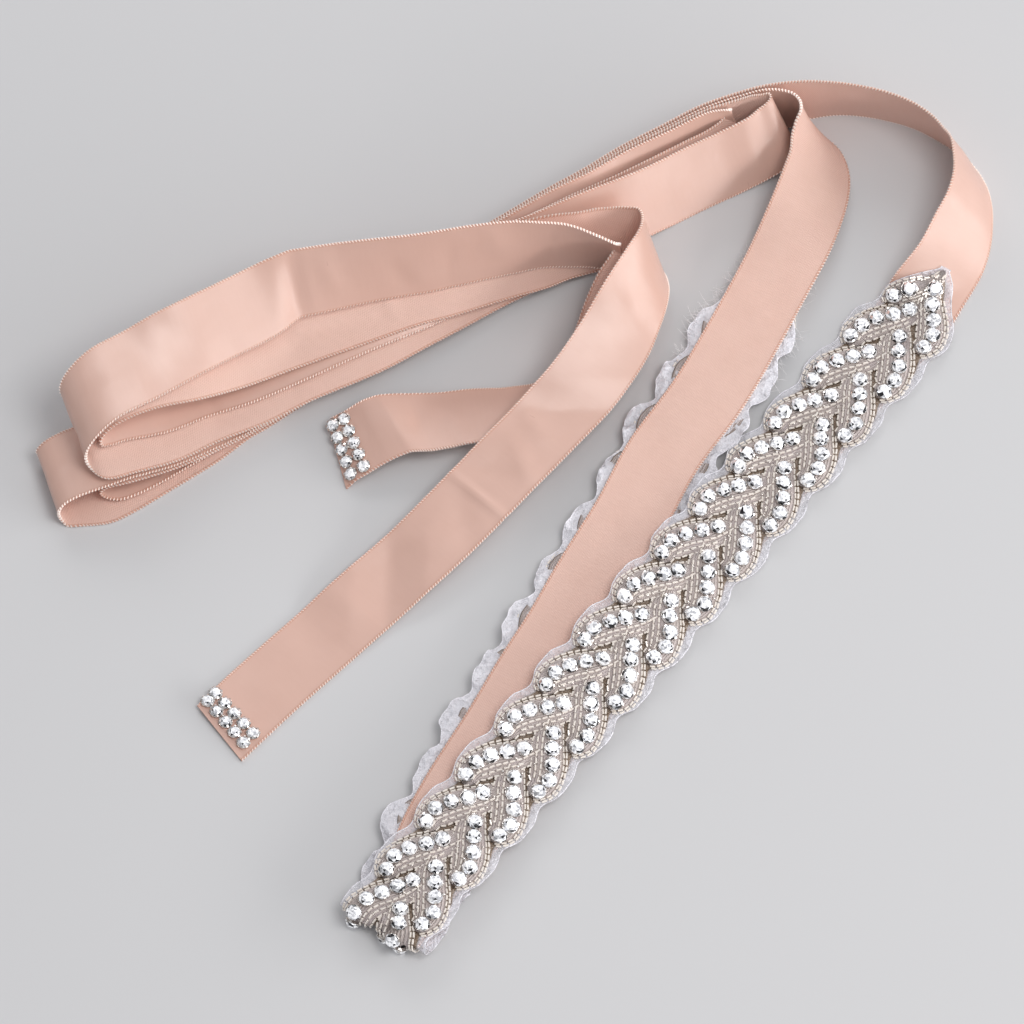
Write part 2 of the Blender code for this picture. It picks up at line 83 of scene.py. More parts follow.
# A strand that lies on another one, some layers up and slid along its own width.
def layered(table, count, slides=None, pitch=ribbonSizes["layerPitch"], floor=0.6):
    result = []
    for index, row in enumerate(table):
        across = widthDirection(row.swing, row.lean)
        place = np.array(row[:3]) + faceDirection(table, index) * pitch * count
        place = place + across * (slides[index] if slides else 0.0)
        if place[2] < floor and across[2] > 0.02:
            place = place + across * (floor - place[2]) / across[2]
        result.append(Row(*place, row.swing, row.lean))
    return result


def backwards(table):
    return list(reversed(table))


tailUnder = rows(
    (-54.5, 8.5, 0.8, 104, 88), (-51.0, 10.7, 2.6, 109, 89), (-47.7, 12.1, 4.0, 110, 91),
    (-41.5, 15.2, 6.0, 110, 91), (-33.9, 18.0, 7.0, 113, 94), (-27.0, 18.7, 7.7, 105, 98),
    (-19.4, 20.1, 8.0, 100, 103), (-11.5, 21.8, 8.3, 97, 105), (6.0, 23.0, 7.5, 109, 102),
    (25.6, 29.7, 6.5, 128, 100),
)
tailUnderTurn = rows(
    (36.2, 42.7, 5.0, 140, 97), (42.1, 54.7, 4.0, 144, 84), (44.1, 67.7, 2.5, 139, 57),
    (43.8, 77.6, 1.8, 133, 35), (40.1, 85.7, 1.6, 163, 11), (34.9, 90.0, 2.6, 259, 8),
)
firstStrand = rows(
    (28.9, 90.3, 5.4, 263, 6), (19.4, 88.4, 9.3, 130, 4), (10.5, 86.7, 11.6, 121, 7),
    (1.0, 83.1, 14.0, 110, 13), (-8.2, 80.0, 15.4, 114, 17), (-27.0, 74.8, 15.9, 114, 22),
    (-44.7, 71.3, 16.0, 113, 26), (-56.6, 68.2, 16.0, 111, 31), (-67.8, 65.0, 16.4, 109, 34),
)
firstPanel = rows(
    (-69.7, 64.2, 16.5, 109, 34), (-78.0, 56.5, 18.0, 116, 48), (-90.8, 47.7, 20.0, 117, 51),
    (-103.3, 38.1, 23.5, 118, 57), (-116.4, 28.3, 26.0, 116, 71),
)
leftBendOuter = rows(
    (-129.3, 20.1, 27.0, 113, 74), (-135.9, 14.7, 24.5, 112, 74), (-139.5, 11.3, 20.0, 111, 73),
    (-139.8, 9.5, 16.5, 111, 73), (-137.5, 7.2, 13.8, 111, 73), (-133.2, 4.9, 13.2, 112, 74),
)
fourthStrand = rows(
    (-123.0, 8.1, 12.2, 112, 79), (-109.2, 13.7, 10.5, 114, 85), (-96.1, 22.2, 8.3, 116, 86),
    (-80.9, 29.9, 6.8, 118, 86), (-66.4, 38.5, 6.4, 118, 84), (-42.4, 50.6, 5.8, 118, 78),
    (-27.0, 60.4, 5.3, 118, 68), (-17.8, 66.2, 5.0, 119, 60), (-2.0, 76.6, 4.2, 119, 48),
    (10.5, 84.2, 3.2, 119, 43), (28.9, 96.5, 1.6, 119, 38), (46.4, 108.2, 0.8, 119, 31),
    (64.5, 118.6, 0.8, 121, 31), (71.4, 122.2, 0.8, 124, 32),
)
rightBendInner = rows(
    (76.3, 126.0, 0.9, 124, 32), (78.9, 129.2, 1.2, 126, 32), (79.6, 132.2, 1.2, 132, 27),
    (78.3, 135.8, 1.0, 143, 17),
)
lowLeftOuter = rows(
    (-109.2, 13.2, 8.7, 114, 86), (-116.4, 10.0, 9.7, 113, 86), (-125.0, 7.0, 10.3, 112, 87),
    (-133.6, 3.4, 10.5, 111, 89),
)
lowLeftOuterBend = rows(
    (-141.8, 0.1, 10.4, 109, 91), (-146.7, -2.4, 9.5, 108, 92), (-148.7, -3.9, 7.5, 108, 92),
    (-149.0, -4.0, 5.0, 107, 92), (-148.0, -4.8, 2.4, 107, 91), (-145.7, -5.9, 1.0, 107, 90),
)
bottomStrand = rows(
    (-141.8, -5.7, 0.5, 112, 90), (-131.9, -4.4, 0.5, 112, 90), (-124.3, -0.4, 0.5, 114, 90),
    (-114.8, 6.1, 0.5, 118, 90), (-105.6, 12.5, 0.5, 120, 90), (-96.1, 19.4, 0.5, 121, 88),
    (-86.5, 27.7, 0.5, 121, 87), (-80.9, 31.5, 0.5, 119, 86), (-66.4, 42.1, 0.5, 118, 84),
    (-42.4, 56.6, 0.5, 118, 78), (-27.0, 65.7, 0.5, 118, 68), (-17.8, 71.4, 0.5, 119, 60),
    (-0.3, 83.5, 0.5, 119, 48), (18.4, 96.8, 0.6, 120, 45), (30.3, 106.7, 0.6, 120, 35),
    (41.8, 117.0, 0.6, 121, 28), (53.6, 126.8, 0.6, 120, 20), (65.5, 136.3, 0.6, 119, 14),
    (75.7, 142.6, 0.6, 120, 9),
)
outerArcTop = rows(
    (85.9, 147.9, 0.6, 123, 4), (97.0, 150.8, 0.6, 180, 2), (107.6, 152.7, 0.6, 239, 6),
    (116.1, 152.3, 0.6, 241, 8), (125.3, 150.4, 0.6, 255, 9), (134.2, 147.3, 0.6, 254, 11),
)
outerArcSide = rows(
    (141.1, 143.2, 0.6, 250, 13), (147.4, 138.6, 0.6, 230, 16), (153.0, 132.9, 0.6, 201, 19),
    (157.2, 125.7, 0.6, 188, 26), (159.2, 118.1, 0.6, 180, 31), (159.5, 109.7, 0.6, 176, 38),
)
outerArcEnd = rows(
    (158.6, 100.6, 0.6, 169, 49), (155.6, 90.3, 0.6, 168, 59), (149.7, 78.9, 0.6, 160, 72),
    (144.1, 68.7, 0.6, 149, 86),
)
frontRun = rows(
    (125.7, 44.8, 0.6, 143, 90), (112.0, 26.8, 0.6, 143, 90), (101.0, 12.2, 0.6, 143, 87),
    (90.8, -1.2, 0.6, 143, 83), (78.3, -17.9, 0.8, 143, 80), (68.4, -31.0, 1.1, 143, 78),
    (56.3, -47.3, 1.7, 143, 77), (21.4, -93.7, 3.2, 143, 78), (-4.9, -129.3, 4.9, 144, 83),
    (-20.5, -150.2, 6.3, 146, 89), (-27.0, -160.3, 6.4, 147, 90),
)
backRun = rows(
    (-27.0, -160.3, 4.3, 147, 90), (-20.9, -149.8, 4.3, 149, 90), (-13.8, -130.8, 4.3, 152, 88),
    (-5.9, -113.8, 4.3, 152, 88), (7.9, -89.1, 4.3, 152, 88), (17.8, -70.1, 4.3, 152, 88),
    (27.6, -52.6, 4.3, 153, 88), (39.1, -29.4, 4.3, 156, 90), (50.3, -9.3, 4.3, 154, 89),
    (60.9, 13.1, 4.3, 154, 89), (77.0, 38.5, 4.3, 154, 89), (98.7, 82.6, 4.3, 148, 89),
)
innerArc = rows(
    (104.9, 96.2, 3.7, 157, 84), (108.9, 107.4, 2.8, 162, 73), (111.8, 119.4, 1.8, 168, 63),
    (112.2, 128.6, 1.0, 177, 53), (110.5, 135.6, 0.6, 184, 45), (107.9, 140.1, 0.6, 190, 34),
    (103.9, 143.9, 0.6, 204, 21), (99.0, 146.6, 0.6, 224, 11), (94.7, 147.7, 0.6, 238, 5),
    (90.8, 147.7, 0.6, 210, 2), (85.2, 146.1, 0.6, 121, 4),
)
lowLeftInner = rows(
    (-116.4, 9.3, 2.1, 118, 90), (-123.7, 5.2, 2.2, 115, 90), (-129.3, 3.2, 2.4, 112, 90),
    (-133.6, 3.5, 3.4, 111, 90), (-135.2, 3.8, 5.9, 111, 90), (-132.9, 4.6, 7.8, 111, 90),
    (-127.3, 5.8, 8.4, 112, 90), (-119.1, 8.6, 8.1, 113, 88), (-109.2, 13.0, 7.1, 114, 86),
)
rightBendOuter = rows(
    (90.6, 140.9, 2.4, 152, 21), (94.0, 139.0, 3.4, 144, 26), (95.1, 135.9, 4.0, 139, 30),
    (93.8, 132.5, 4.0, 133, 33), (90.1, 129.5, 3.0, 128, 34),
)
thirdStrandRight = rows(
    (84.9, 126.5, 2.0, 122, 31), (75.0, 121.7, 1.0, 123, 31), (61.8, 114.6, 0.8, 120, 31),
    (46.4, 105.2, 1.6, 120, 31), (29.3, 94.8, 3.1, 119, 38),
)
leftBendInner = rows(
    (-131.8, 15.4, 17.2, 112, 77), (-134.5, 14.2, 18.8, 111, 75), (-134.9, 15.0, 20.8, 111, 75),
    (-132.2, 17.9, 23.0, 111, 75), (-126.3, 21.2, 24.4, 112, 75), (-116.4, 26.2, 23.0, 113, 74),
)
tailLoop = rows(
    (19.4, 87.0, 4.0, 112, 31), (26.3, 89.8, 3.0, 116, 26), (34.5, 93.0, 1.4, 119, 25),
    (43.8, 93.6, 0.8, 123, 29), (49.3, 90.8, 2.0, 122, 33), (51.6, 83.7, 5.0, 129, 35),
    (51.3, 74.6, 9.0, 140, 43), (48.7, 63.0, 12.0, 150, 55), (44.7, 52.0, 12.0, 152, 68),
)
tailTop = rows(
    (34.9, 35.8, 11.0, 151, 78), (24.7, 23.5, 10.0, 145, 84), (9.5, 6.3, 8.8, 142, 87),
    (-16.1, -21.4, 5.5, 137, 89), (-41.8, -46.0, 2.0, 137, 90), (-69.7, -74.1, 0.6, 137, 90),
    (-88.2, -94.2, 0.6, 126, 88),
)

stackSizes = {
    "tightPitch": 1.46,     # between layers that stand more upright
    "secondPitch": 1.46,
    "thirdPitch": 1.50,
    "secondSlides": (15.2, 13.6, 11.6, 9.9, 7.3, 5.2, 2.4, 0.2),
    "thirdSlides": (11.1, 10.2, 9.1, 8.1, 7.0, 7.5, 5.7, 5.1, 2.3, 0.8),
    "seventhSlides": (3.5, 3.0, 1.5, 0.5, 0.0, 0.0, 0.0, 0.0, 0.0),
    "secondLifts": (7.5, 3.5, 1.2, 0.0, 0.0, 0.0, 0.0, 0.0),
    "liftLean": 1.7,        # degrees less of lean for each millimetre of lift
    "liftForward": 0.58,    # millimetres towards the viewer for each millimetre of lift
}

foldStart = Row(-30.0, -165.0, 6.4, ribbonSizes["foldSwing"], 90)


# The second strand climbs from the stack towards the left bend, and there it leans less.
def secondStrand():
    slides = stackSizes["secondSlides"]
    table = layered(fourthStrand[2:10], 2, slides, stackSizes["secondPitch"])
    result = []
    for row, lift in zip(table, stackSizes["secondLifts"]):
        y = row.y - stackSizes["liftForward"] * lift
        lean = row.lean - stackSizes["liftLean"] * min(lift, 6.0)
        result.append(Row(row.x, y, row.z + lift, row.swing, lean))
    return result


# The ribbon turns under itself about a line along its width.
def foldRows():
    heading = math.radians(foldStart.swing + 90.0)
    result = []
    for turn in (0, 36, 72, 108, 144, 180):
        angle = math.radians(turn)
        out = ribbonSizes["foldRadius"] * math.sin(angle)
        x = foldStart.x + out * math.cos(heading)
        y = foldStart.y + out * math.sin(heading)
        z = foldStart.z - ribbonSizes["foldRadius"] * (1.0 - math.cos(angle))
        result.append(Row(x, y, z, foldStart.swing, 90))
    return result


fifthStrand = (
    backwards(layered(bottomStrand[13:18], 3, pitch=stackSizes["tightPitch"]))
    + backwards(layered(bottomStrand[6:13], 3))
)
sixthStrand = (
    layered(bottomStrand[6:13], 2)
    + layered(bottomStrand[13:19], 2, pitch=stackSizes["tightPitch"])
)
seventhStrand = (
    backwards(layered(bottomStrand[13:19], 1))
    + backwards(layered(bottomStrand[4:13], 1, stackSizes["seventhSlides"]))
)
thirdStrand = thirdStrandRight + backwards(
    layered(fourthStrand[:10], 1, stackSizes["thirdSlides"], stackSizes["thirdPitch"])
)

# The ribbon's stretches in order from one cut end to the other.
stretches = {
    "tail_under": tailUnder,
    "tail_under_turn": tailUnderTurn,
    "first_strand": firstStrand,
    "first_panel": firstPanel,
    "left_bend_outer": leftBendOuter,
    "fourth_strand": fourthStrand,
    "right_bend_inner": rightBendInner,
    "fifth_strand": fifthStrand,
    "low_left_outer": lowLeftOuter,
    "low_left_outer_bend": lowLeftOuterBend,
    "bottom_strand": bottomStrand,
    "outer_arc_top": outerArcTop,
    "outer_arc_side": outerArcSide,
    "outer_arc_end": outerArcEnd,
    "front_run": frontRun,
    "fold": foldRows(),
    "back_run": backRun,
    "inner_arc": innerArc,
    "seventh_strand": seventhStrand,
    "low_left_inner": lowLeftInner,
    "sixth_strand": sixthStrand,
    "right_bend_outer": rightBendOuter,
    "third_strand": thirdStrand,
    "left_bend_inner": leftBendInner,
    "second_strand": secondStrand(),
    "tail_loop": tailLoop,
    "tail_top": tailTop,
}


def unit(vectors):
    return vectors / np.linalg.norm(vectors, axis=-1, keepdims=True)


# How far along a line each of its points is.
def running(points):
    steps = np.linalg.norm(np.diff(points, axis=0), axis=1)
    return np.concatenate([[0.0], np.cumsum(steps)])


# The values of a line at some distances along it.
def follow(distances, along, values):
    return np.stack([np.interp(distances, along, values[:, axis]) for axis in range(3)], 1)


# One smooth curve through all the rows, read by the distance along the ribbon's middle.
class RibbonCurve:

    def __init__(self, table):
        half = ribbonSizes["width"] / 2.0
        places = np.array([row[:3] for row in table], float)
        widths = np.array([widthDirection(row.swing, row.lean) for row in table])
        middles = places + widths * half
        chords = np.maximum(np.linalg.norm(np.diff(middles, axis=0), axis=1), 1e-6)
        # Dense samples: in which span each one lies, and how far through it.
        counts = np.maximum(5, np.round(chords * 2.5).astype(int))
        firsts = np.concatenate([[0], np.cumsum(counts)])
        spans = np.repeat(np.arange(len(chords)), counts)
        parts = ((np.arange(firsts[-1]) - firsts[spans]) / counts[spans])[:, None]
        steps = np.diff(np.concatenate([[0.0], np.cumsum(np.sqrt(chords))]))[:, None]
        self.across = unit(self.smooth(widths, steps, spans, parts))
        self.middle = self.smooth(places, steps, spans, parts) + self.across * half
        self.along = running(self.middle)
        self.rowAlong = self.along[firsts]
        self.face = unit(np.cross(unit(np.gradient(self.middle, axis=0)), self.across))
        # How far each sample moves up or down, so that the ribbon rests on the table.
        reach = np.abs(self.across[:, 2]) * half
        wall = np.abs(self.face[:, 2]) * ribbonSizes["wall"] / 2.0
        low = self.middle[:, 2] - reach - wall
        rest, free = ribbonSizes["restBelow"], ribbonSizes["freeAbove"]
        between = (low - rest) * free / (free - rest)
        self.rise = np.where(low < rest, 0.0, np.where(low < free, between, low)) - low

    def smooth(self, values, steps, spans, parts):
        rates = np.diff(values, axis=0) / steps
        inner = (rates[:-1] * steps[1:] + rates[1:] * steps[:-1]) / (steps[:-1] + steps[1:])
        slopes = np.concatenate([rates[:1], inner, rates[-1:]])
        square = parts * parts
        cube = square * parts
        blended = (
            (2 * cube - 3 * square + 1) * values[spans]
            + (cube - 2 * square + parts) * steps[spans] * slopes[spans]
            + (3 * square - 2 * cube) * values[spans + 1]
            + (cube - square) * steps[spans] * slopes[spans + 1]
        )
        return np.concatenate([blended, values[-1:]])

    # The middle line, the width direction and the face's normal.
    def at(self, distances):
        distances = np.atleast_1d(np.asarray(distances, float))
        middle = follow(distances, self.along, self.middle)
        middle[:, 2] += np.interp(distances, self.along, self.rise)
        across = unit(follow(distances, self.along, self.across))
        face = follow(distances, self.along, self.face)
        face = unit(face - across * np.sum(face * across, axis=1, keepdims=True))
        return middle, across, face

    # The distances at which the mesh has a section: more of them where the ribbon bends.
    def stations(self):
        cosine = math.cos(math.radians(ribbonSizes["sharpestBend"]))
        picked = [0]
        for index in range(1, len(self.along) - 1):
            last = picked[-1]
            far = self.along[index] - self.along[last] > ribbonSizes["longestStep"]
            turned = np.dot(self.face[index], self.face[last]) < cosine
            twisted = np.dot(self.across[index], self.across[last]) < cosine
            if far or turned or twisted:
                picked.append(index)
        return np.append(self.along[picked], self.along[-1])


curve = RibbonCurve([row for table in stretches.values() for row in table])
ribbonLength = curve.along[-1]
ends = {}                   # where each stretch starts and ends along the ribbon
firstRow = 0
for stretchName, stretchTable in stretches.items():
    lastRow = min(firstRow + len(stretchTable), len(curve.rowAlong) - 1)
    ends[stretchName] = (curve.rowAlong[firstRow], curve.rowAlong[lastRow])
    firstRow += len(stretchTable)
print("ribbon curve", round(ribbonLength), "mm")


# A socket that can be used in sums. Numbers go through Math nodes.
class Wire:

    def __init__(self, nodes, socket):
        self.nodes = nodes
        self.socket = socket

    def sum(self, operation, first, second):
        return self.nodes.add("ShaderNodeMath", {"operation": operation}, {0: first, 1: second})

    def __add__(self, other):
        return self.sum("ADD", self, other)

    def __radd__(self, other):
        return self.sum("ADD", other, self)

    def __sub__(self, other):
        return self.sum("SUBTRACT", self, other)

    def __rsub__(self, other):
        return self.sum("SUBTRACT", other, self)

    def __mul__(self, other):
        return self.sum("MULTIPLY", self, other)

    def __rmul__(self, other):
        return self.sum("MULTIPLY", other, self)

    def __gt__(self, other):
        return self.sum("GREATER_THAN", self, other)

    def __lt__(self, other):
        return self.sum("LESS_THAN", self, other)


# The nodes of a material or of the world, and the one way that they are added.
class Nodes:

    def __init__(self, owner):
        owner.use_nodes = True
        self.tree = owner.node_tree

    def fill(self, node, sockets):
        for key, value in sockets.items():
            if isinstance(value, Wire):
                self.tree.links.new(value.socket, node.inputs[key])
            elif isinstance(value, tuple) and node.inputs[key].type == "RGBA":
                node.inputs[key].default_value = (*value[:3], 1.0)
            else:
                node.inputs[key].default_value = value

    def add(self, kind, settings=None, sockets=None, out=0):
        node = self.tree.nodes.new(kind)
        for key, value in (settings or {}).items():
            setattr(node, key, value)
        self.fill(node, sockets or {})
        return Wire(self, node.outputs[out])

    def place(self):
        return self.add("ShaderNodeTexCoord", None, None, 3)

    def cut(self):
        return self.add("ShaderNodeUVMap", {"uv_map": "cut"})

    def mix(self, factor, first, second):
        sockets = {0: factor, 6: first, 7: second}
        return self.add("ShaderNodeMix", {"data_type": "RGBA"}, sockets, 2)

    def split(self, vector, axis):
        return self.add("ShaderNodeSeparateXYZ", None, {0: vector}, axis)

    def join(self, x, y):
        return self.add("ShaderNodeCombineXYZ", None, {0: x, 1: y})

    def noise(self, place, scale, detail=2.0):
        sockets = {"Vector": place, "Scale": scale, "Detail": detail}
        return self.add("ShaderNodeTexNoise", None, sockets)

    def single(self, operation, value):
        return self.add("ShaderNodeMath", {"operation": operation}, {0: value})

    # From 0 to "full" while the value goes from "low" to "high".
    def climb(self, value, low, high, full):
        return self.add("ShaderNodeMapRange", None, {0: value, 1: low, 2: high, 3: 0.0, 4: full})

    def bump(self, height, distance, strength=1.0, normal=None):
        sockets = {"Height": height, "Distance": distance, "Strength": strength}
        if normal:
            sockets["Normal"] = normal
        return self.add("ShaderNodeBump", None, sockets)


# One material. The names of its shader's sockets are written with _ for a space.
class Look(Nodes):

    def __init__(self, name, **fixed):
        self.material = bpy.data.materials.new(name)
        super().__init__(self.material)
        self.set(**fixed)

    def set(self, **sockets):
        shader = self.tree.nodes["Principled BSDF"]
        self.fill(shader, {key.replace("_", " "): value for key, value in sockets.items()})


# A look in two tones that are mixed in fine specks. "polish" is how much the specks change
# the roughness, and the least of it.
def specked(name, tones, scale, detail, polish=None, **fixed):
    look = Look(name, **fixed)
    specks = look.noise(look.place(), scale, detail)
    look.set(Base_Color=look.mix(specks, *tones))
    if polish:
        look.set(Roughness=specks * polish[0] + polish[1])
    return look


def addObject(name, data):
    item = bpy.data.objects.new(name, data)
    bpy.context.scene.collection.objects.link(item)
    return item


# A piece that rides on the belt. "sharp" is the angle past which a smooth edge is kept sharp.
def makeMesh(name, points, faces, looks, uv=None, sharp=None, faceLooks=None):
    mesh = bpy.data.meshes.new(name)
    placed = (np.asarray(points, float) - np.array(ribbonSizes["boxMiddle"])) * mm
    corners = [tuple(int(corner) for corner in face) for face in faces]
    mesh.from_pydata(placed.tolist(), [], corners)
    for look in looks:
        mesh.materials.append(look.material)
    if faceLooks is not None:
        mesh.polygons.foreach_set("material_index", np.asarray(faceLooks, np.int32))
    if uv is not None:
        corners = np.empty(len(mesh.loops), np.int32)
        mesh.loops.foreach_get("vertex_index", corners)
        layer = mesh.uv_layers.new(name="cut")
        layer.data.foreach_set("uv", np.asarray(uv, np.float32)[corners].ravel())
    if sharp is not None:
        mesh.shade_smooth()
        mesh.set_sharp_from_angle(angle=math.radians(sharp))
    mesh.update()
    piece = addObject(name, mesh)
    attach(piece, "root")
    return piece


def keepAbove(points, lowest):
    points[:, 2] = np.maximum(points[:, 2], lowest)


# The same faces again for each of some copies that have so many points each.
def repeated(faces, points, copies):
    result = []
    for shift in range(0, points * copies, points):
        result += [tuple(corner + shift for corner in face) for face in faces]
    return result


# A piece of many copies of a shape. Each frame is a place and three directions.
def makeCopies(name, shape, frames, looks, lowest=None, sharp=None, faceLooks=None):
    points, faces = shape
    points = np.asarray(points, float)
    placed = [place + points @ np.array(directions) for place, *directions in frames]
    placed = np.concatenate(placed)
    if lowest is not None:
        keepAbove(placed, lowest)
    faces = repeated(faces, len(points), len(frames))
    return makeMesh(name, placed, faces, looks, sharp=sharp, faceLooks=faceLooks)


def ring(radius, height, corners, turn=0.0):
    angles = [fullTurn * (corner + turn) / corners for corner in range(corners)]
    return [(radius * math.cos(angle), radius * math.sin(angle), height) for angle in angles]


# The faces between rings of corners. A closed set goes on from the last ring to the first.
def ringFaces(rings, corners, first=0, closed=False):
    faces = []
    for level in range(rings if closed else rings - 1):
        near = first + level * corners
        far = first + (level + 1) % rings * corners
        for corner in range(corners):
            following = (corner + 1) % corners
            faces.append((near + corner, near + following, far + following, far + corner))
    return faces


# The faces of a closed grain: a first point, some rings and a last point.
def grainFaces(rings, corners):
    faces = ringFaces(rings, corners, 1)
    last = 1 + rings * corners
    for corner in range(corners):
        following = (corner + 1) % corners
        faces.append((0, 1 + following, 1 + corner))
        faces.append((last, last - corners + corner, last - corners + following))
    return faces


# A closed skin from two grids of points, the same size, one on each side of a sheet.
def closedSheet(above, below):
    lines, columns = above.shape[:2]
    index = np.arange(lines * columns).reshape(lines, columns)
    other = index + lines * columns
    faces = []
    sides = []
    for a, b, c, d, side in (
        (index[:-1, :-1], index[:-1, 1:], index[1:, 1:], index[1:, :-1], 0),
        (other[:-1, :-1], other[1:, :-1], other[1:, 1:], other[:-1, 1:], 1),
        (index[:-1, 0], index[1:, 0], other[1:, 0], other[:-1, 0], 0),
        (index[1:, -1], index[:-1, -1], other[:-1, -1], other[1:, -1], 0),
        (index[0, 1:], index[0, :-1], other[0, :-1], other[0, 1:], 0),
        (index[-1, :-1], index[-1, 1:], other[-1, 1:], other[-1, :-1], 0),
    ):
        block = np.stack([a.ravel(), b.ravel(), c.ravel(), d.ravel()], 1)
        faces += map(tuple, block.tolist())
        sides += [side] * len(block)
    return np.concatenate([above.reshape(-1, 3), below.reshape(-1, 3)]), faces, sides


satinLooks = {
    "faceLit": (0.72, 0.470, 0.392),
    "faceDeep": (0.60, 0.350, 0.268),
    "backLit": (0.86, 0.61, 0.53),
    "backDeep": (0.68, 0.405, 0.32),
    "selvedge": (0.64, 0.35, 0.26),
    "selvedgeFrom": 11.7,   # millimetres from the ribbon's middle
    "thread": 0.42,         # one weft thread, millimetres
    "twill": 0.78,
    "faceRoughness": 0.30,
    "backRoughness": 0.50,
    "stitchTones": ((1.0, 0.93, 0.88), (1.0, 0.80, 0.71)),
}


def satin(name, side, twill):
    look = Look(name, Specular_IOR_Level=0.3 if twill else 1.0)
    along = look.split(look.cut(), 0)
    across = look.split(look.cut(), 1)
    threads = fullTurn / satinLooks["twill" if twill else "thread"]
    lit = satinLooks[side + "Lit"]
    deep = satinLooks[side + "Deep"]
    slub = look.noise(look.join(along * 0.9, across * 0.12), 1.0, 3.0)
    cloud = look.noise(look.join(along * 0.06, across * 0.09), 1.0, 2.0)
    tone = look.mix(cloud * 0.3 + slub * 0.20, lit, deep)
    if twill:
        weave = look.single("SINE", (along + across) * threads) * 0.5
        weave = weave + look.single("SINE", (along - across * 0.6) * threads) * 0.3
        tone = look.mix(weave * 0.5 + 0.15, tone, deep)
    else:
        weave = look.single("SINE", along * threads) * 0.25
        weave = weave + look.single("SINE", across * threads * 1.4) * 0.6
    beside = look.single("ABSOLUTE", across) > satinLooks["selvedgeFrom"]
    weaveBump = look.bump(weave, 0.00008 if twill else 0.000012)
    look.set(
        Base_Color=look.mix(beside * 0.8, tone, satinLooks["selvedge"]),
        Roughness=slub * 0.10 + (satinLooks[side + "Roughness"] - 0.05),
        Normal=look.bump(cloud, 0.0004, 0.6, weaveBump),
    )
    return look


satinFace = satin("blush satin face", "face", False)
satinBack = satin("blush satin back", "back", True)
stitchLook = specked(
    "cream selvedge stitch", satinLooks["stitchTones"], 900.0, 1.0,
    Roughness=0.45, Specular_IOR_Level=0.5,
)

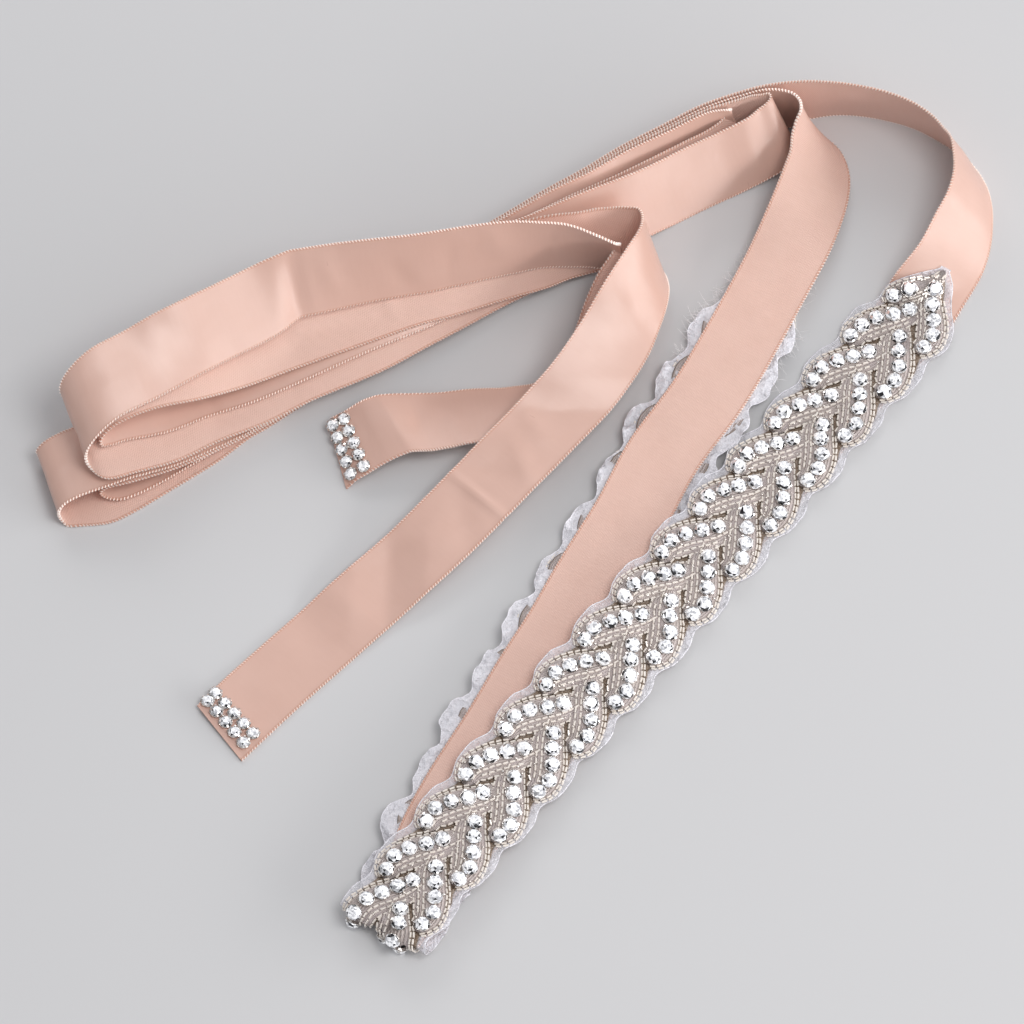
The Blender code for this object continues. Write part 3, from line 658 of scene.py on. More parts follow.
# Ridges, and troughs of a depth under 0, in each stretch: the share of its length, the side
# from -1 to 1, the turn from its length in degrees, then length, width and depth, and how
# crisp it is: 1 for a pressed fold line and 0 for a soft one.
creases = {
    "first_panel": (
        (0.00, 0.0, 90, 40, 5.0, 1.15, 1.0), (0.10, -0.3, 96, 24, 4.0, -0.3, 0.1),
        (0.32, -0.4, 60, 26, 6.0, -0.40, 0.0), (0.62, 0.3, 75, 28, 7.0, 0.50, 0.0),
        (0.85, -0.3, 100, 24, 6.0, -0.35, 0.0),
    ),
    "first_strand": (
        (0.88, 0.1, 80, 24, 5.0, -0.45, 0.2), (0.66, -0.3, 70, 26, 5.0, 0.40, 0.1),
        (0.50, -0.2, 100, 26, 4.0, 0.35, 0.2), (0.34, 0.3, 80, 22, 6.0, -0.45, 0.0),
        (0.16, 0.0, 104, 26, 4.0, 0.45, 0.2),
    ),
    "left_bend_outer": (
        (0.15, 0.4, 20, 22, 4.0, 0.35, 0.0), (0.50, -0.2, 12, 20, 5.0, 0.30, 0.0),
        (0.75, -0.4, 15, 18, 4.0, -0.3, 0.0),
    ),
    "fourth_strand": (
        (0.12, 0.2, 88, 26, 6.0, 0.35, 0.2), (0.27, -0.1, 78, 24, 4.0, -0.3, 0.2),
        (0.44, 0.2, 97, 22, 5.0, 0.3, 0.1), (0.78, 0.0, 85, 22, 6.0, 0.3, 0.0),
    ),
    "second_strand": (
        (0.55, 0.1, 86, 28, 3.5, 0.50, 0.7), (0.28, 0.0, 94, 24, 5.0, -0.35, 0.1),
        (0.80, 0.2, 72, 22, 5.0, 0.35, 0.1),
    ),
    "third_strand": (
        (0.843, 0.1, 88, 34, 4.0, 0.75, 1.0), (0.93, -0.2, 74, 22, 4.0, -0.3, 0.1),
        (0.70, 0.2, 100, 22, 5.0, 0.3, 0.1), (0.30, -0.2, 80, 26, 7.0, 0.4, 0.0),
        (0.12, 0.1, 100, 24, 5.0, -0.35, 0.1),
    ),
    "tail_top": (
        (0.065, -0.15, 53, 60, 11.0, 1.45, 0.9), (0.125, 0.3, 112, 24, 5.0, -0.45, 0.2),
        (0.205, -0.3, 118, 28, 4.5, -0.55, 0.2), (0.260, 0.4, 66, 26, 5.0, 0.50, 0.4),
        (0.308, 0.0, 92, 40, 2.4, -0.75, 1.0), (0.365, -0.2, 128, 30, 6.0, 0.40, 0.3),
        (0.445, 0.2, 48, 34, 7.0, -0.50, 0.1), (0.543, 0.05, 137, 64, 12.0, 1.70, 1.0),
        (0.640, 0.3, 70, 26, 7.0, -0.40, 0.0), (0.740, 0.1, 95, 24, 8.0, 0.35, 0.0),
        (0.870, -0.2, 70, 22, 7.0, -0.3, 0.0),
    ),
    "tail_loop": (
        (0.72, 0.2, 30, 24, 5.0, -0.4, 0.0), (0.48, -0.3, 64, 22, 5.0, 0.35, 0.1),
        (0.30, -0.2, 80, 20, 4.0, 0.35, 0.2),
    ),
    "tail_under": (
        (0.23, 0.0, 94, 48, 9.0, 1.50, 1.0), (0.33, 0.3, 66, 24, 4.0, -0.45, 0.2),
        (0.44, -0.2, 104, 24, 4.5, 0.45, 0.3), (0.60, -0.2, 70, 20, 6.0, 0.35, 0.0),
    ),
    "tail_under_turn": (
        (0.40, 0.2, 40, 24, 6.0, -0.4, 0.0),
    ),
    "outer_arc_top": (
        (0.45, 0.1, 70, 18, 5.0, 0.35, 0.3),
    ),
    "outer_arc_side": (
        (0.30, -0.1, 60, 26, 6.0, -0.4, 0.0), (0.72, 0.2, 100, 22, 5.0, 0.4, 0.0),
    ),
    "outer_arc_end": (
        (0.35, -0.2, 68, 26, 6.0, 0.5, 0.1), (0.75, 0.3, 110, 20, 5.0, -0.35, 0.0),
    ),
    "inner_arc": (
        (0.22, 0.1, 75, 24, 6.0, -0.4, 0.0), (0.52, -0.2, 100, 22, 5.0, 0.4, 0.1),
        (0.78, 0.2, 65, 20, 4.0, -0.35, 0.2),
    ),
    "right_bend_outer": (
        (0.85, 0.0, 92, 24, 4.0, 0.35, 0.3),
    ),
    "sixth_strand": (
        (0.90, 0.1, 80, 20, 5.0, 0.3, 0.0),
    ),
    "bottom_strand": (
        (0.86, 0.0, 75, 22, 6.0, 0.3, 0.0),
    ),
    "back_run": (
        (0.90, 0.2, 70, 26, 7.0, 0.4, 0.0), (0.72, -0.2, 112, 24, 9.0, 0.3, 0.0),
        (0.55, -0.3, 100, 22, 8.0, -0.3, 0.0), (0.38, 0.2, 76, 26, 9.0, 0.25, 0.0),
        (0.25, 0.2, 104, 24, 9.0, 0.25, 0.0),
    ),
    "low_left_outer_bend": (
        (0.30, 0.2, 18, 18, 4.0, 0.3, 0.0),
    ),
    "low_left_inner": (
        (0.45, -0.2, 60, 20, 5.0, 0.3, 0.1),
    ),
}


# Low waves that the ribbon keeps from the reel, a little stronger at its edges.
waveSizes = {
    "height": 0.12,
    "lengths": (17.0, 41.0),
    "atMiddle": 0.35,       # the share of a wave's height that the ribbon's middle has
    "rippleHeight": 0.025,
    "rippleLengths": (7.3, 29.0),
    "rippleSlant": 6.0,
}


# How far the cloth stands out from its curve.
def relief(along, across):
    half = ribbonSizes["width"] / 2.0
    height = np.zeros_like(along)
    for name, lines in creases.items():
        first, last = ends[name]
        for share, side, turn, length, width, depth, crisp in lines:
            x = along - (first + (last - first) * share)
            y = across - side * half
            angle = math.radians(turn)
            lengthwise = (x * math.cos(angle) + y * math.sin(angle)) / (length / 2.0)
            sideways = (-x * math.sin(angle) + y * math.cos(angle)) / width
            fade = np.clip(1.0 - lengthwise ** 2, 0.0, 1.0) ** 1.5
            soft = np.exp(-(sideways * 1.4) ** 2)
            pressed = np.clip(1.0 - np.abs(sideways), 0.0, 1.0)
            height += depth * fade * (pressed * crisp + soft * (1.0 - crisp))
    atMiddle = waveSizes["atMiddle"]
    short, long = waveSizes["lengths"]
    edge = atMiddle + (1.0 - atMiddle) * (across / half) ** 2
    wave = np.sin(along / short + 0.8) * np.sin(along / long) * waveSizes["height"]
    short, long = waveSizes["rippleLengths"]
    ripple = np.sin(along / short + across / waveSizes["rippleSlant"])
    ripple = ripple * np.sin(along / long + 1.7) * waveSizes["rippleHeight"]
    return height + (edge * wave + ripple)


def clothPoints(along, across, height):
    middle, width, face = curve.at(along.ravel())
    points = middle + width * across.ravel()[:, None] + face * height.ravel()[:, None]
    return points.reshape(*along.shape, 3)


def makeRibbon():
    spread = np.linspace(-1.0, 1.0, ribbonSizes["pointsAcross"]) * ribbonSizes["width"] / 2.0
    along, across = np.meshgrid(curve.stations(), spread, indexing="ij")
    height = relief(along, across)
    half = ribbonSizes["cloth"] / 2.0
    points, faces, sides = closedSheet(
        clothPoints(along, across, height + half),
        clothPoints(along, across, height - half),
    )
    keepAbove(points, ribbonSizes["cloth"] * 0.2)
    cut = np.stack([along.ravel(), across.ravel()], 1)
    # The satin is on the curve's face side in the first tail, and on the other side after it.
    firsts = np.array([face[0] for face in faces]) % along.size
    onTail = along.ravel()[firsts] < ends["tail_under"][1]
    sides = np.where(onTail, 1 - np.array(sides), sides)
    looks = [satinBack, satinFace]
    piece = makeMesh("satin_ribbon", points, faces, looks, np.tile(cut, (2, 1)), 50, sides)
    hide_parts(*stretches)
    print("ribbon", len(faces), "faces")
    return piece


stitchSizes = {
    "pitch": 1.08,
    "length": 1.25,         # along the slant
    "thickness": 0.56,
    "height": 0.56,
    "slant": 50.0,
    "inset": 0.20,          # from the ribbon's edge
    "lowest": 0.34,
}


# Slanted overlock stitches along both selvedges, each one a tapered grain of thread.
def makeSelvedge():
    square = ((1.0, 0.0), (0.0, 1.0), (-1.0, 0.0), (0.0, -1.0))
    grain = [(-1.0, 0.0, 0.0)]
    grain += [(x, y, z) for x in (-0.45, 0.45) for y, z in square]
    grain.append((1.0, 0.0, 0.0))
    half = (stitchSizes["length"] / 2, stitchSizes["thickness"] / 2, stitchSizes["height"])
    count = int(ribbonLength / stitchSizes["pitch"])
    along = (np.arange(count) + 0.5) * ribbonLength / count
    middle, width, face = curve.at(along)
    heading = np.cross(width, face)
    slant = math.radians(stitchSizes["slant"])
    frames = []
    for side in (-1.0, 1.0):
        offset = side * (ribbonSizes["width"] / 2.0 - stitchSizes["inset"])
        height = relief(along, np.full(count, offset))
        place = middle + width * offset + face * height[:, None]
        keepAbove(place, stitchSizes["lowest"])
        first = heading * math.cos(slant) + width * side * math.sin(slant)
        second = width * side * math.cos(slant) - heading * math.sin(slant)
        frames += zip(place, first, second, face)
    shape = (np.array(grain) * half, grainFaces(2, 4))
    piece = makeCopies("selvedge_stitches", shape, frames, [stitchLook], sharp=60)
    print("selvedge", len(frames), "stitches")
    return piece


ribbonPiece = makeRibbon()
selvedgePiece = makeSelvedge()
ribbonLength * mm

plaitSizes = {
    "lengthFront": 310.0,
    "lengthBack": 278.0,
    "halfWidth": 17.0,
    "pitch": 21.25,         # one scallop, and one leaf of a side
    "scallop": 2.4,
    "tip": 30.0,
    "filmHeight": 0.75,     # above the ribbon's middle surface
    "film": 0.12,
    "lowest": 0.25,
    "firstLeaf": 18.0,      # no leaf starts nearer to the first tip
    "leafShift": -0.5,
    "leafLength": 30.5,
    "leafStart": 11.0,      # out from the strip's middle
    "leafEnd": 2.2,         # past the strip's middle
    "leafHalfWidth": 5.6,
    "leafRise": 1.2,
}

foldFirst, foldLast = ends["fold"]
plaitOrigin = foldFirst - plaitSizes["lengthFront"]
plaitLength = foldLast + plaitSizes["lengthBack"] - plaitOrigin


# From "least" at the strip's two ends to 1 where its tips have ended.
def fullness(place, least):
    return np.clip(np.minimum(place, plaitLength - place) / plaitSizes["tip"], least, 1.0)


# Half the strip's width on one side, scalloped and drawn in to a leaf tip at each end.
def stripEdge(place, side):
    phase = place / plaitSizes["pitch"] + (0.5 if side < 0 else 0.0)
    notch = (0.5 + 0.5 * np.cos(fullTurn * phase)) ** 2
    width = plaitSizes["halfWidth"] - plaitSizes["scallop"] * notch
    return width * np.maximum(0.12, np.sin(math.pi / 2.0 * fullness(place, 0.0)) ** 0.8)


# Points over the strip: the beads are on the ribbon's side that faces away.
def stripPoints(place, offset, height):
    middle, width, face = curve.at(plaitOrigin + place.ravel())
    points = middle + width * np.ravel(offset)[:, None] - face * np.ravel(height)[:, None]
    keepAbove(points, plaitSizes["lowest"])
    return points.reshape(*place.shape, 3)


# A leaf is shorter where it would pass the strip's own tip.
def leafLength(start):
    return min(plaitSizes["leafLength"], start - 1.5)


# A leaf's spine: out along the edge and then in to the middle, towards the first tip.
def leafSpine(leaf, part):
    start, side = leaf
    swing = np.clip((part - 0.10) / 0.90, 0.0, 1.0)
    inward = 0.35 * swing + 0.65 * (1.0 - np.cos(math.pi * swing)) / 2.0
    outward = plaitSizes["leafStart"] - (plaitSizes["leafStart"] + plaitSizes["leafEnd"]) * inward
    outward = outward - 1.5 * (1.0 - np.clip(part / 0.2, 0.0, 1.0)) ** 2
    place = start - leafLength(start) * part
    narrow = stripEdge(place, side) / plaitSizes["halfWidth"]
    return place, side * outward * np.clip(narrow, 0.15, 1.0)


# A place on a leaf: "part" runs along it and "lateral" across it from -1 to 1. The result
# is the place along the strip, the offset from its middle and the height.
def leafPoint(leaf, part, lateral, extra=0.0, lift=0.0):
    place, offset = leafSpine(leaf, part)
    nextPlace, nextOffset = leafSpine(leaf, part + 0.01)
    run = unit(np.stack([nextPlace - place, nextOffset - offset], -1))
    body = np.sin(math.pi * np.clip(part, 0.0, 1.0) ** 0.85) ** 0.42
    narrow = 0.22 + 0.78 * fullness(place, 0.03) ** 0.6
    reach = lateral * (plaitSizes["leafHalfWidth"] * body * narrow) + extra * np.sign(lateral)
    dome = plaitSizes["leafRise"] * (1.0 - np.clip(np.abs(lateral), 0.0, 1.0) ** 2.4)
    base = plaitSizes["filmHeight"] + 0.15
    base = base + 0.8 * np.sin(math.pi * np.clip(part, 0.02, 0.98)) ** 0.7
    base = base * (1.0 - 0.45 * np.clip(part - 0.6, 0.0, 1.0))
    return place - run[..., 1] * reach, offset + run[..., 0] * reach, base + dome + lift


# A line along a leaf: its places along the strip, its points and the distances along it.
def leafLine(leaf, part, lateral, extra=0.0, lift=0.0):
    place, offset, height = leafPoint(leaf, part, lateral, extra, lift)
    points = stripPoints(np.clip(place, 0.5, plaitLength - 0.5), offset, height)
    return place, points, running(points)


leaves = []
for number in range(1, int(plaitLength / plaitSizes["pitch"]) + 2):
    for shift, side in ((0.0, 1.0), (0.5, -1.0)):
        start = (number + shift) * plaitSizes["pitch"] + plaitSizes["leafShift"]
        if plaitSizes["firstLeaf"] < start < plaitLength + 1.0:
            leaves.append((start, side))
print("plait", round(plaitLength), "mm", len(leaves), "leaves")

filmSizes = {
    "clear": (0.90, 0.89, 0.95),
    # Under the beads the film is painted dark brown: its threads together with painted shade in
    # the valleys between the leaves.
    "thread": (0.17, 0.11, 0.07),
    "threadLit": (0.36, 0.28, 0.22),
    "shadeAndThreadInset": (2.4, 3.2),  # between these distances from the edge the dark threads and painted shade begin
    "rim": 0.35,
    "step": 0.85,
    "pointsAcross": 31,
    "rag": ((7.0, 0.5), (2.3, 0.3)),    # the sizes and depths of the uneven cut
    "backRag": (23.0, 1.3),
    "deepNotch": 1.0,       # how much deeper the back half is cut between its scallops
    "freeFrom": 12.3,       # from the strip's middle, where the ribbon no longer holds it
    "freeOver": 3.5,
    "crumple": 1.3,
    "crumples": ((2.1, 0.55), (4.6, 0.8)),
    "hair": (0.92, 0.90, 0.92),
    "hairs": 150,
    "hairStretch": 46.0,    # the length of the strip's end that has them
    "hairLength": 5.5,
    "hairThickness": 0.08,
    "hairLowest": 0.1,
}

filmLook = Look("crumpled clear film", Roughness=0.18, IOR=1.45, Specular_IOR_Level=0.8)
filmLook.material.surface_render_method = "DITHERED"
filmPlace = filmLook.place()
filmCut = filmLook.cut()
filmEdge = filmLook.split(filmCut, 1)
filmCrumple = filmLook.noise(filmPlace, 420.0, 4.0)
# Painted shade: under the beads the film turns a dark thread brown that also stands for the shade
# between the leaves.
underBeads = filmLook.split(filmCut, 0) < plaitSizes["lengthFront"] + 4.0
shadeAndThreadBand = filmLook.climb(filmEdge, *filmSizes["shadeAndThreadInset"], 1.0) * underBeads
shadeAndThreadMix = filmLook.noise(filmPlace, 1400.0)
shadeAndThreadTone = filmLook.mix(shadeAndThreadMix, filmSizes["thread"], filmSizes["threadLit"])
filmRim = (filmEdge < filmSizes["rim"]) * 0.55
filmLook.set(
    Base_Color=filmLook.mix(shadeAndThreadBand, filmSizes["clear"], shadeAndThreadTone),
    Alpha=shadeAndThreadBand * 0.7 + (filmCrumple * 0.75 + filmRim - underBeads * 0.42 + 0.40),
    Normal=filmLook.bump(filmCrumple, 0.0022),
)


# Smooth uneven heights, from a square grid of chance values for each size and height.
def uneven(along, across, sizes, chosen):
    return sum(chanceHeight(along, across, size, chosen) * height for size, height in sizes)


def chanceHeight(along, across, size, chosen):
    count = 97
    grid = chosen.uniform(-1.0, 1.0, (count, count))
    parts = []
    for value in (along, across):
        cells = value / size + 31.0
        low = np.floor(cells).astype(int)
        part = cells - low
        parts.append((low % count, (low + 1) % count, part * part * (3.0 - 2.0 * part)))
    (left, right, x), (low, high, y) = parts
    near = grid[left, low] * (1.0 - x) + grid[right, low] * x
    far = grid[left, high] * (1.0 - x) + grid[right, high] * x
    return near * (1.0 - y) + far * y


# The clear film under the beads, crumpled where it stands past the ribbon.
def makeFilm(chosen):
    places = np.linspace(0.4, plaitLength - 0.4, int(plaitLength / filmSizes["step"]))
    spread = np.sin(np.linspace(-1.0, 1.0, filmSizes["pointsAcross"]) * math.pi / 2.0)
    place, share = np.meshgrid(places, spread, indexing="ij")
    flat = np.zeros_like(places)
    back = np.clip((places - plaitSizes["lengthFront"] - 8.0) / 12.0, 0.0, 1.0)
    edges = []
    for side in (1.0, -1.0):
        full = stripEdge(places, side)
        notch = np.clip((plaitSizes["halfWidth"] - full) / plaitSizes["scallop"], 0.0, 1.0)
        rag = uneven(places, flat, filmSizes["rag"], chosen)
        rag = rag + uneven(places, flat, [filmSizes["backRag"]], chosen) * back
        deeper = back * (notch * filmSizes["deepNotch"] - 0.7)
        trimmed = full + rag * (0.35 + 0.9 * back) - deeper
        edges.append(np.maximum(trimmed, np.maximum(full - 0.8, 1.2)))
    edge = np.where(share > 0, edges[0][:, None], edges[1][:, None])
    offset = share * edge
    inset = (1.0 - np.abs(share)) * edge
    free = (np.abs(offset) - filmSizes["freeFrom"]) / filmSizes["freeOver"]
    free = np.clip(free, 0.0, 1.0)
    crumple = uneven(place, offset, filmSizes["crumples"], chosen)
    curl = free * crumple * filmSizes["crumple"] * (back[:, None] + 0.16)
    height = plaitSizes["filmHeight"] + curl
    points, faces, sides = closedSheet(
        stripPoints(place, offset, height),
        stripPoints(place, offset, height + plaitSizes["film"]),
    )
    cut = np.stack([place.ravel(), np.abs(inset).ravel()], 1)
    piece = makeMesh("applique_film", points, faces, [filmLook], np.tile(cut, (2, 1)), 50)
    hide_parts("plait_front", "plait_back")
    widths = stripEdge(places, 1) + stripEdge(places, -1)
    print("film", len(faces), "faces")
    return piece, float(np.mean(widths)) * plaitLength


# Frayed threads that stand out from the film's edge near its far end.
def makeHairs(chosen):
    look = Look("frayed white thread", Roughness=0.6, Base_Color=filmSizes["hair"])
    points = []
    faces = []
    for number in range(filmSizes["hairs"]):
        place = plaitLength - 2.0 - filmSizes["hairStretch"] * chosen.uniform(0.0, 1.0) ** 1.3
        side = 1.0 if chosen.uniform(0.0, 1.0) < 0.85 else -1.0
        offset = side * max(float(stripEdge(place, side)) * 0.97, 11.0)
        root = stripPoints(np.array([place]), offset, plaitSizes["filmHeight"])[0]
        middle, width, face = curve.at(plaitOrigin + place)
        heading = np.cross(width[0], face[0])
        out = width[0] * side + heading * chosen.normal(0.0, 0.75)
        out = unit(out + face[0] * chosen.normal(0.1, 0.35))
        bend = heading * chosen.normal(0.0, 0.5) + face[0] * chosen.normal(0.0, 0.4)
        length = filmSizes["hairLength"] * chosen.uniform(0.25, 1.0)
        first = len(points)
        for step in range(4):
            part = step / 3.0
            spot = root + out * length * part + bend * length * part * part
            spot[2] = max(spot[2], filmSizes["hairLowest"])
            for x, y, z in ring(filmSizes["hairThickness"] * (1.0 - 0.6 * part), 0.0, 3):
                points.append(spot + heading * x + face[0] * y)
        faces += ringFaces(4, 3, first)
        faces += [(first + 2, first + 1, first), (first + 9, first + 10, first + 11)]
    piece = makeMesh("frayed_threads", points, faces, [look], sharp=80)
    print("frayed threads", filmSizes["hairs"])


groundSizes = {
    "beige": (0.45, 0.38, 0.33),
    "mauve": (0.54, 0.46, 0.475),
    "light": (0.82, 0.76, 0.73),
    # painted shade for the valleys between the leaves
    "valleyShade": (0.15, 0.095, 0.055),
    "pointsAlong": 21,
    "across": (-1.0, -0.9, -0.7, -0.4, 0.0, 0.4, 0.7, 0.9, 1.0),
}

groundLook = Look("strand ground", Roughness=0.38, Specular_IOR_Level=0.6)
groundPlace = groundLook.place()
groundAcross = groundLook.split(groundLook.cut(), 1)
groundMix = groundLook.noise(groundPlace, 160.0)
groundTone = groundLook.mix(groundMix, groundSizes["beige"], groundSizes["mauve"])
groundGrain = groundLook.noise(groundPlace, 2000.0, 1.0)
groundThreads = groundLook.single("SINE", groundAcross * 34.0 + groundGrain * 3.0)
# Painted shade: each ground darkens towards its edges, in the valleys between the leaves.
groundEdgeShade = groundLook.climb(groundLook.single("ABSOLUTE", groundAcross), 0.86, 1.0, 0.9)
groundLight = groundThreads * 0.16 + groundGrain * 0.3
groundTone = groundLook.mix(groundLight, groundTone, groundSizes["light"])
groundLook.set(
    Base_Color=groundLook.mix(groundEdgeShade, groundTone, groundSizes["valleyShade"]),
    Normal=groundLook.bump(groundThreads * 0.4 + groundGrain, 0.0004),
)


# The stuffed ground of each strand's leaf, a low closed dome.
def makeGrounds():
    parts = np.linspace(0.0, 1.0, groundSizes["pointsAlong"])
    part, across = np.meshgrid(parts, groundSizes["across"], indexing="ij")
    cut = np.stack([part.ravel(), across.ravel()], 1)
    domes = []
    for leaf in leaves:
        place, offset, height = leafPoint(leaf, part, across)
        place = np.clip(place, 0.3, plaitLength - 0.3)
        foot = np.full_like(height, plaitSizes["filmHeight"] + 0.05)
        points, faces, sides = closedSheet(
            stripPoints(place, offset, height),
            stripPoints(place, offset, foot),
        )
        domes.append(points)
    faces = repeated(faces, len(points), len(domes))
    cuts = np.tile(cut, (2 * len(domes), 1))
    piece = makeMesh("strand_grounds", np.concatenate(domes), faces, [groundLook], cuts, 50)
    print("grounds", len(domes))


beadSizes = {
    "length": 1.75,
    "radius": 0.36,
    "pitch": 2.25,
    "sides": 6,
    "slant": 0.14,          # how far a tube may turn from its row
    "bugleTones": ((1.0, 0.96, 0.90), (0.86, 0.76, 0.68)),
    "seedRadius": 0.55,
    "seedsPerLeaf": 10,
    "seedTones": ((0.95, 0.92, 0.9), (0.66, 0.58, 0.52)),
    "lowest": 0.05,
    "seedLowest": 0.03,
}

bugleLook = specked(
    "silver-lined glass tube", beadSizes["bugleTones"], 700.0, 1.0, (0.2, 0.06),
    Metallic=0.15, Coat_Weight=0.8,
)


# Places in a row along a leaf, each with the row's direction there and the way up.
def lineFrames(leaf, part, lateral, extra):
    place, points, along = leafLine(leaf, part, lateral, extra, beadSizes["radius"] * 0.8)
    inside = (place > 0.8) & (place < plaitLength - 0.8)
    count = max(1, int(along[-1] / beadSizes["pitch"]))
    frames = []
    for mark in (np.arange(count) + 0.5) * along[-1] / count:
        spot, ahead, behind = follow([mark, mark + 0.5, mark - 0.5], along, points)
        nearest = min(len(inside) - 1, int(np.searchsorted(along, mark)))
        size = np.linalg.norm(ahead - behind)
        if inside[nearest] and size > 0.2:
            middle, width, face = curve.at(plaitOrigin + np.interp(mark, along, place))
            frames.append((spot, (ahead - behind) / size, -face[0]))
    return frames


def makeBugles(chosen):
    sides = beadSizes["sides"]
    shape = []
    for end in (-beadSizes["length"] / 2.0, beadSizes["length"] / 2.0):
        shape += [(end, x, y) for x, y, z in ring(beadSizes["radius"], 0.0, sides)]
    faces = [tuple(range(sides - 1, -1, -1)), tuple(range(sides, 2 * sides))]
    faces += ringFaces(2, sides)
    whole = np.linspace(0.03, 0.97, 41)
    outer = np.linspace(0.03, 0.62, 25)
    inner = np.linspace(0.06, 0.93, 31)
    middle = np.linspace(0.20, 0.66, 21)
    frames = []
    for leaf in leaves:
        out = -leaf[1]
        for parts, lateral, extra in (
            (whole, 1.0, -0.2), (whole, -1.0, -0.2), (outer, out, 0.75),
            (inner, -0.38 * out, 0.0), (middle, -0.68 * out, 0.0),
        ):
            for spot, run, up in lineFrames(leaf, parts, lateral, extra):
                turned = run * chosen.uniform(-beadSizes["slant"], beadSizes["slant"])
                second = unit(unit(np.cross(up, run)) + turned)
                heading = unit(np.cross(second, np.cross(run, second)))
                frames.append((spot, heading, second, np.cross(heading, second)))
    lowest = beadSizes["lowest"]
    piece = makeCopies("bugle_beads", (shape, faces), frames, [bugleLook], lowest, 45)
    print("bugles", len(frames))


crystalSizes = {
    "radius": 2.68,
    "cupRadius": 2.76,
    "cupHeight": 1.75,
    "pitch": 5.65,
    "sunk": 0.25,
    "raised": 0.45,         # the stone above its cup's foot
    "lowest": 0.03,
    "uneven": 0.35,         # how far a stone may sit off its line
    "lean": 0.15,           # and how far it may lean, in radians
    "first": 3.5,           # from the leaf's outer end
    "last": 5.0,            # from its inner end
    # Painted light: the facet tones and glints below stand for lit and dark reflections in the
    # facets, not the stone's own colour.
    "clear": (0.96, 0.97, 1.0),
    "grey": (0.42, 0.43, 0.46),
    "halfLit": (0.74, 0.75, 0.78),
    "dark": (0.035, 0.035, 0.04),
    "glint": (1.0, 1.0, 1.0),
    "dullGlint": (0.25, 0.25, 0.27),
    "cupTones": ((0.95, 0.93, 0.91), (0.62, 0.58, 0.54)),
}

# The lit facet is painted near white with grey specks of painted reflection and glows with
# painted glints. The half-lit and dark facets are painted pale grey and nearly black reflections.
crystalBright = Look("cut crystal, lit facet", Metallic=0.35, Coat_Weight=1.0)
shard = crystalBright.add(
    "ShaderNodeTexVoronoi", {"feature": "F1"},
    {"Vector": crystalBright.place(), "Scale": 1500.0}, 1,
)
shardTone = crystalBright.split(shard, 0)
greyShard = (shardTone > 0.86) * 0.8
glints = (crystalSizes["glint"], crystalSizes["dullGlint"])
crystalBright.set(
    Base_Color=crystalBright.mix(greyShard, crystalSizes["clear"], crystalSizes["grey"]),
    Roughness=shardTone * 0.15 + 0.03,
    Emission_Color=crystalBright.mix(shardTone > 0.55, *glints),
    Emission_Strength=0.32,
)
crystalGrey = Look(
    "cut crystal, half-lit facet", Metallic=0.8, Roughness=0.07, Coat_Weight=1.0,
    Base_Color=crystalSizes["halfLit"],
)
crystalDark = Look(
    "cut crystal, dark facet", Metallic=0.6, Roughness=0.1, Coat_Weight=0.6,
    Base_Color=crystalSizes["dark"],
)
crystalLooks = [crystalBright, crystalGrey, crystalDark]
cupLook = specked(
    "silver claw cup", crystalSizes["cupTones"], 800.0, 2.0, (0.25, 0.1), Metallic=1.0,
)


# A round cut stone: a flat table, star facets, a belt of main facets and a cone below.
def crystalShape(radius, raised):
    count = 8
    levels = ((0.56, 0.90), (0.80, 0.66), (1.0, 0.30), (1.0, 0.18), (0.62, -0.1))
    points = []
    faces = [tuple(range(count))]
    for number, (reach, height) in enumerate(levels):
        points += ring(radius * reach, radius * height + raised, count, number % 2 * 0.5)
    for number in range(len(levels) - 1):
        near = number * count
        for corner in range(count):
            following = (corner + 1) % count
            a, b = near + corner, near + following
            c, d = a + count, b + count
            faces += [(a, c, d), (a, d, b)] if number % 2 else [(a, c, b), (b, c, d)]
    faces.append(tuple(range(len(points) - 1, len(points) - count - 1, -1)))
    return points, faces


# Which look each facet of some stones has, as painted light and painted reflection: lit, half-lit
# or dark. Darker ones are commoner away from the table.
def facetLooks(stones, chosen):
    dark = np.tile([0.0] + [0.13] * 16 + [0.24] * 16 + [0.32] * 16 + [0.5] * 17, stones)
    pick = chosen.uniform(0.0, 1.0, len(dark))
    return np.where(pick < dark, 2, np.where(pick < dark + 0.26 * (dark > 0.0), 1, 0))


# The cup: a tapered ring with claws bent over the stone's edge.
def cupShape(radius, height, claws=4):
    profile = ((0.72, 0.0), (1.0, 0.38), (1.0, 0.52), (0.90, 0.52), (0.62, 0.1))
    corners = 12
    points = []
    for reach, level in profile:
        points += ring(radius * reach, height * level, corners)
    faces = ringFaces(len(profile), corners, closed=True)
    for claw in range(claws):
        angle = fullTurn * (claw + 0.5) / claws
        out = np.array([math.cos(angle), math.sin(angle), 0.0])
        side = np.array([-math.sin(angle), math.cos(angle), 0.0])
        first = len(points)
        for reach, level, half in ((1.03, 0.25, 0.17), (1.04, 0.72, 0.15), (0.72, 1.02, 0.11)):
            for width, thick in ((-half, 0.0), (half, 0.0), (half, -0.13), (-half, -0.13)):
                spot = out * radius * (reach + thick) + side * radius * width
                spot[2] = height * level + (0.0 if thick else 0.1)
                points.append(tuple(spot))
        faces += ringFaces(3, 4, first)
        faces += [(first + 3, first + 2, first + 1, first), tuple(range(first + 8, first + 12))]
    return points, faces


def squareFrame(up, hint, turn):
    first = unit(hint - up * np.dot(hint, up))
    second = np.cross(up, first)
    cosine, sine = math.cos(turn), math.sin(turn)
    return first * cosine + second * sine, second * cosine - first * sine


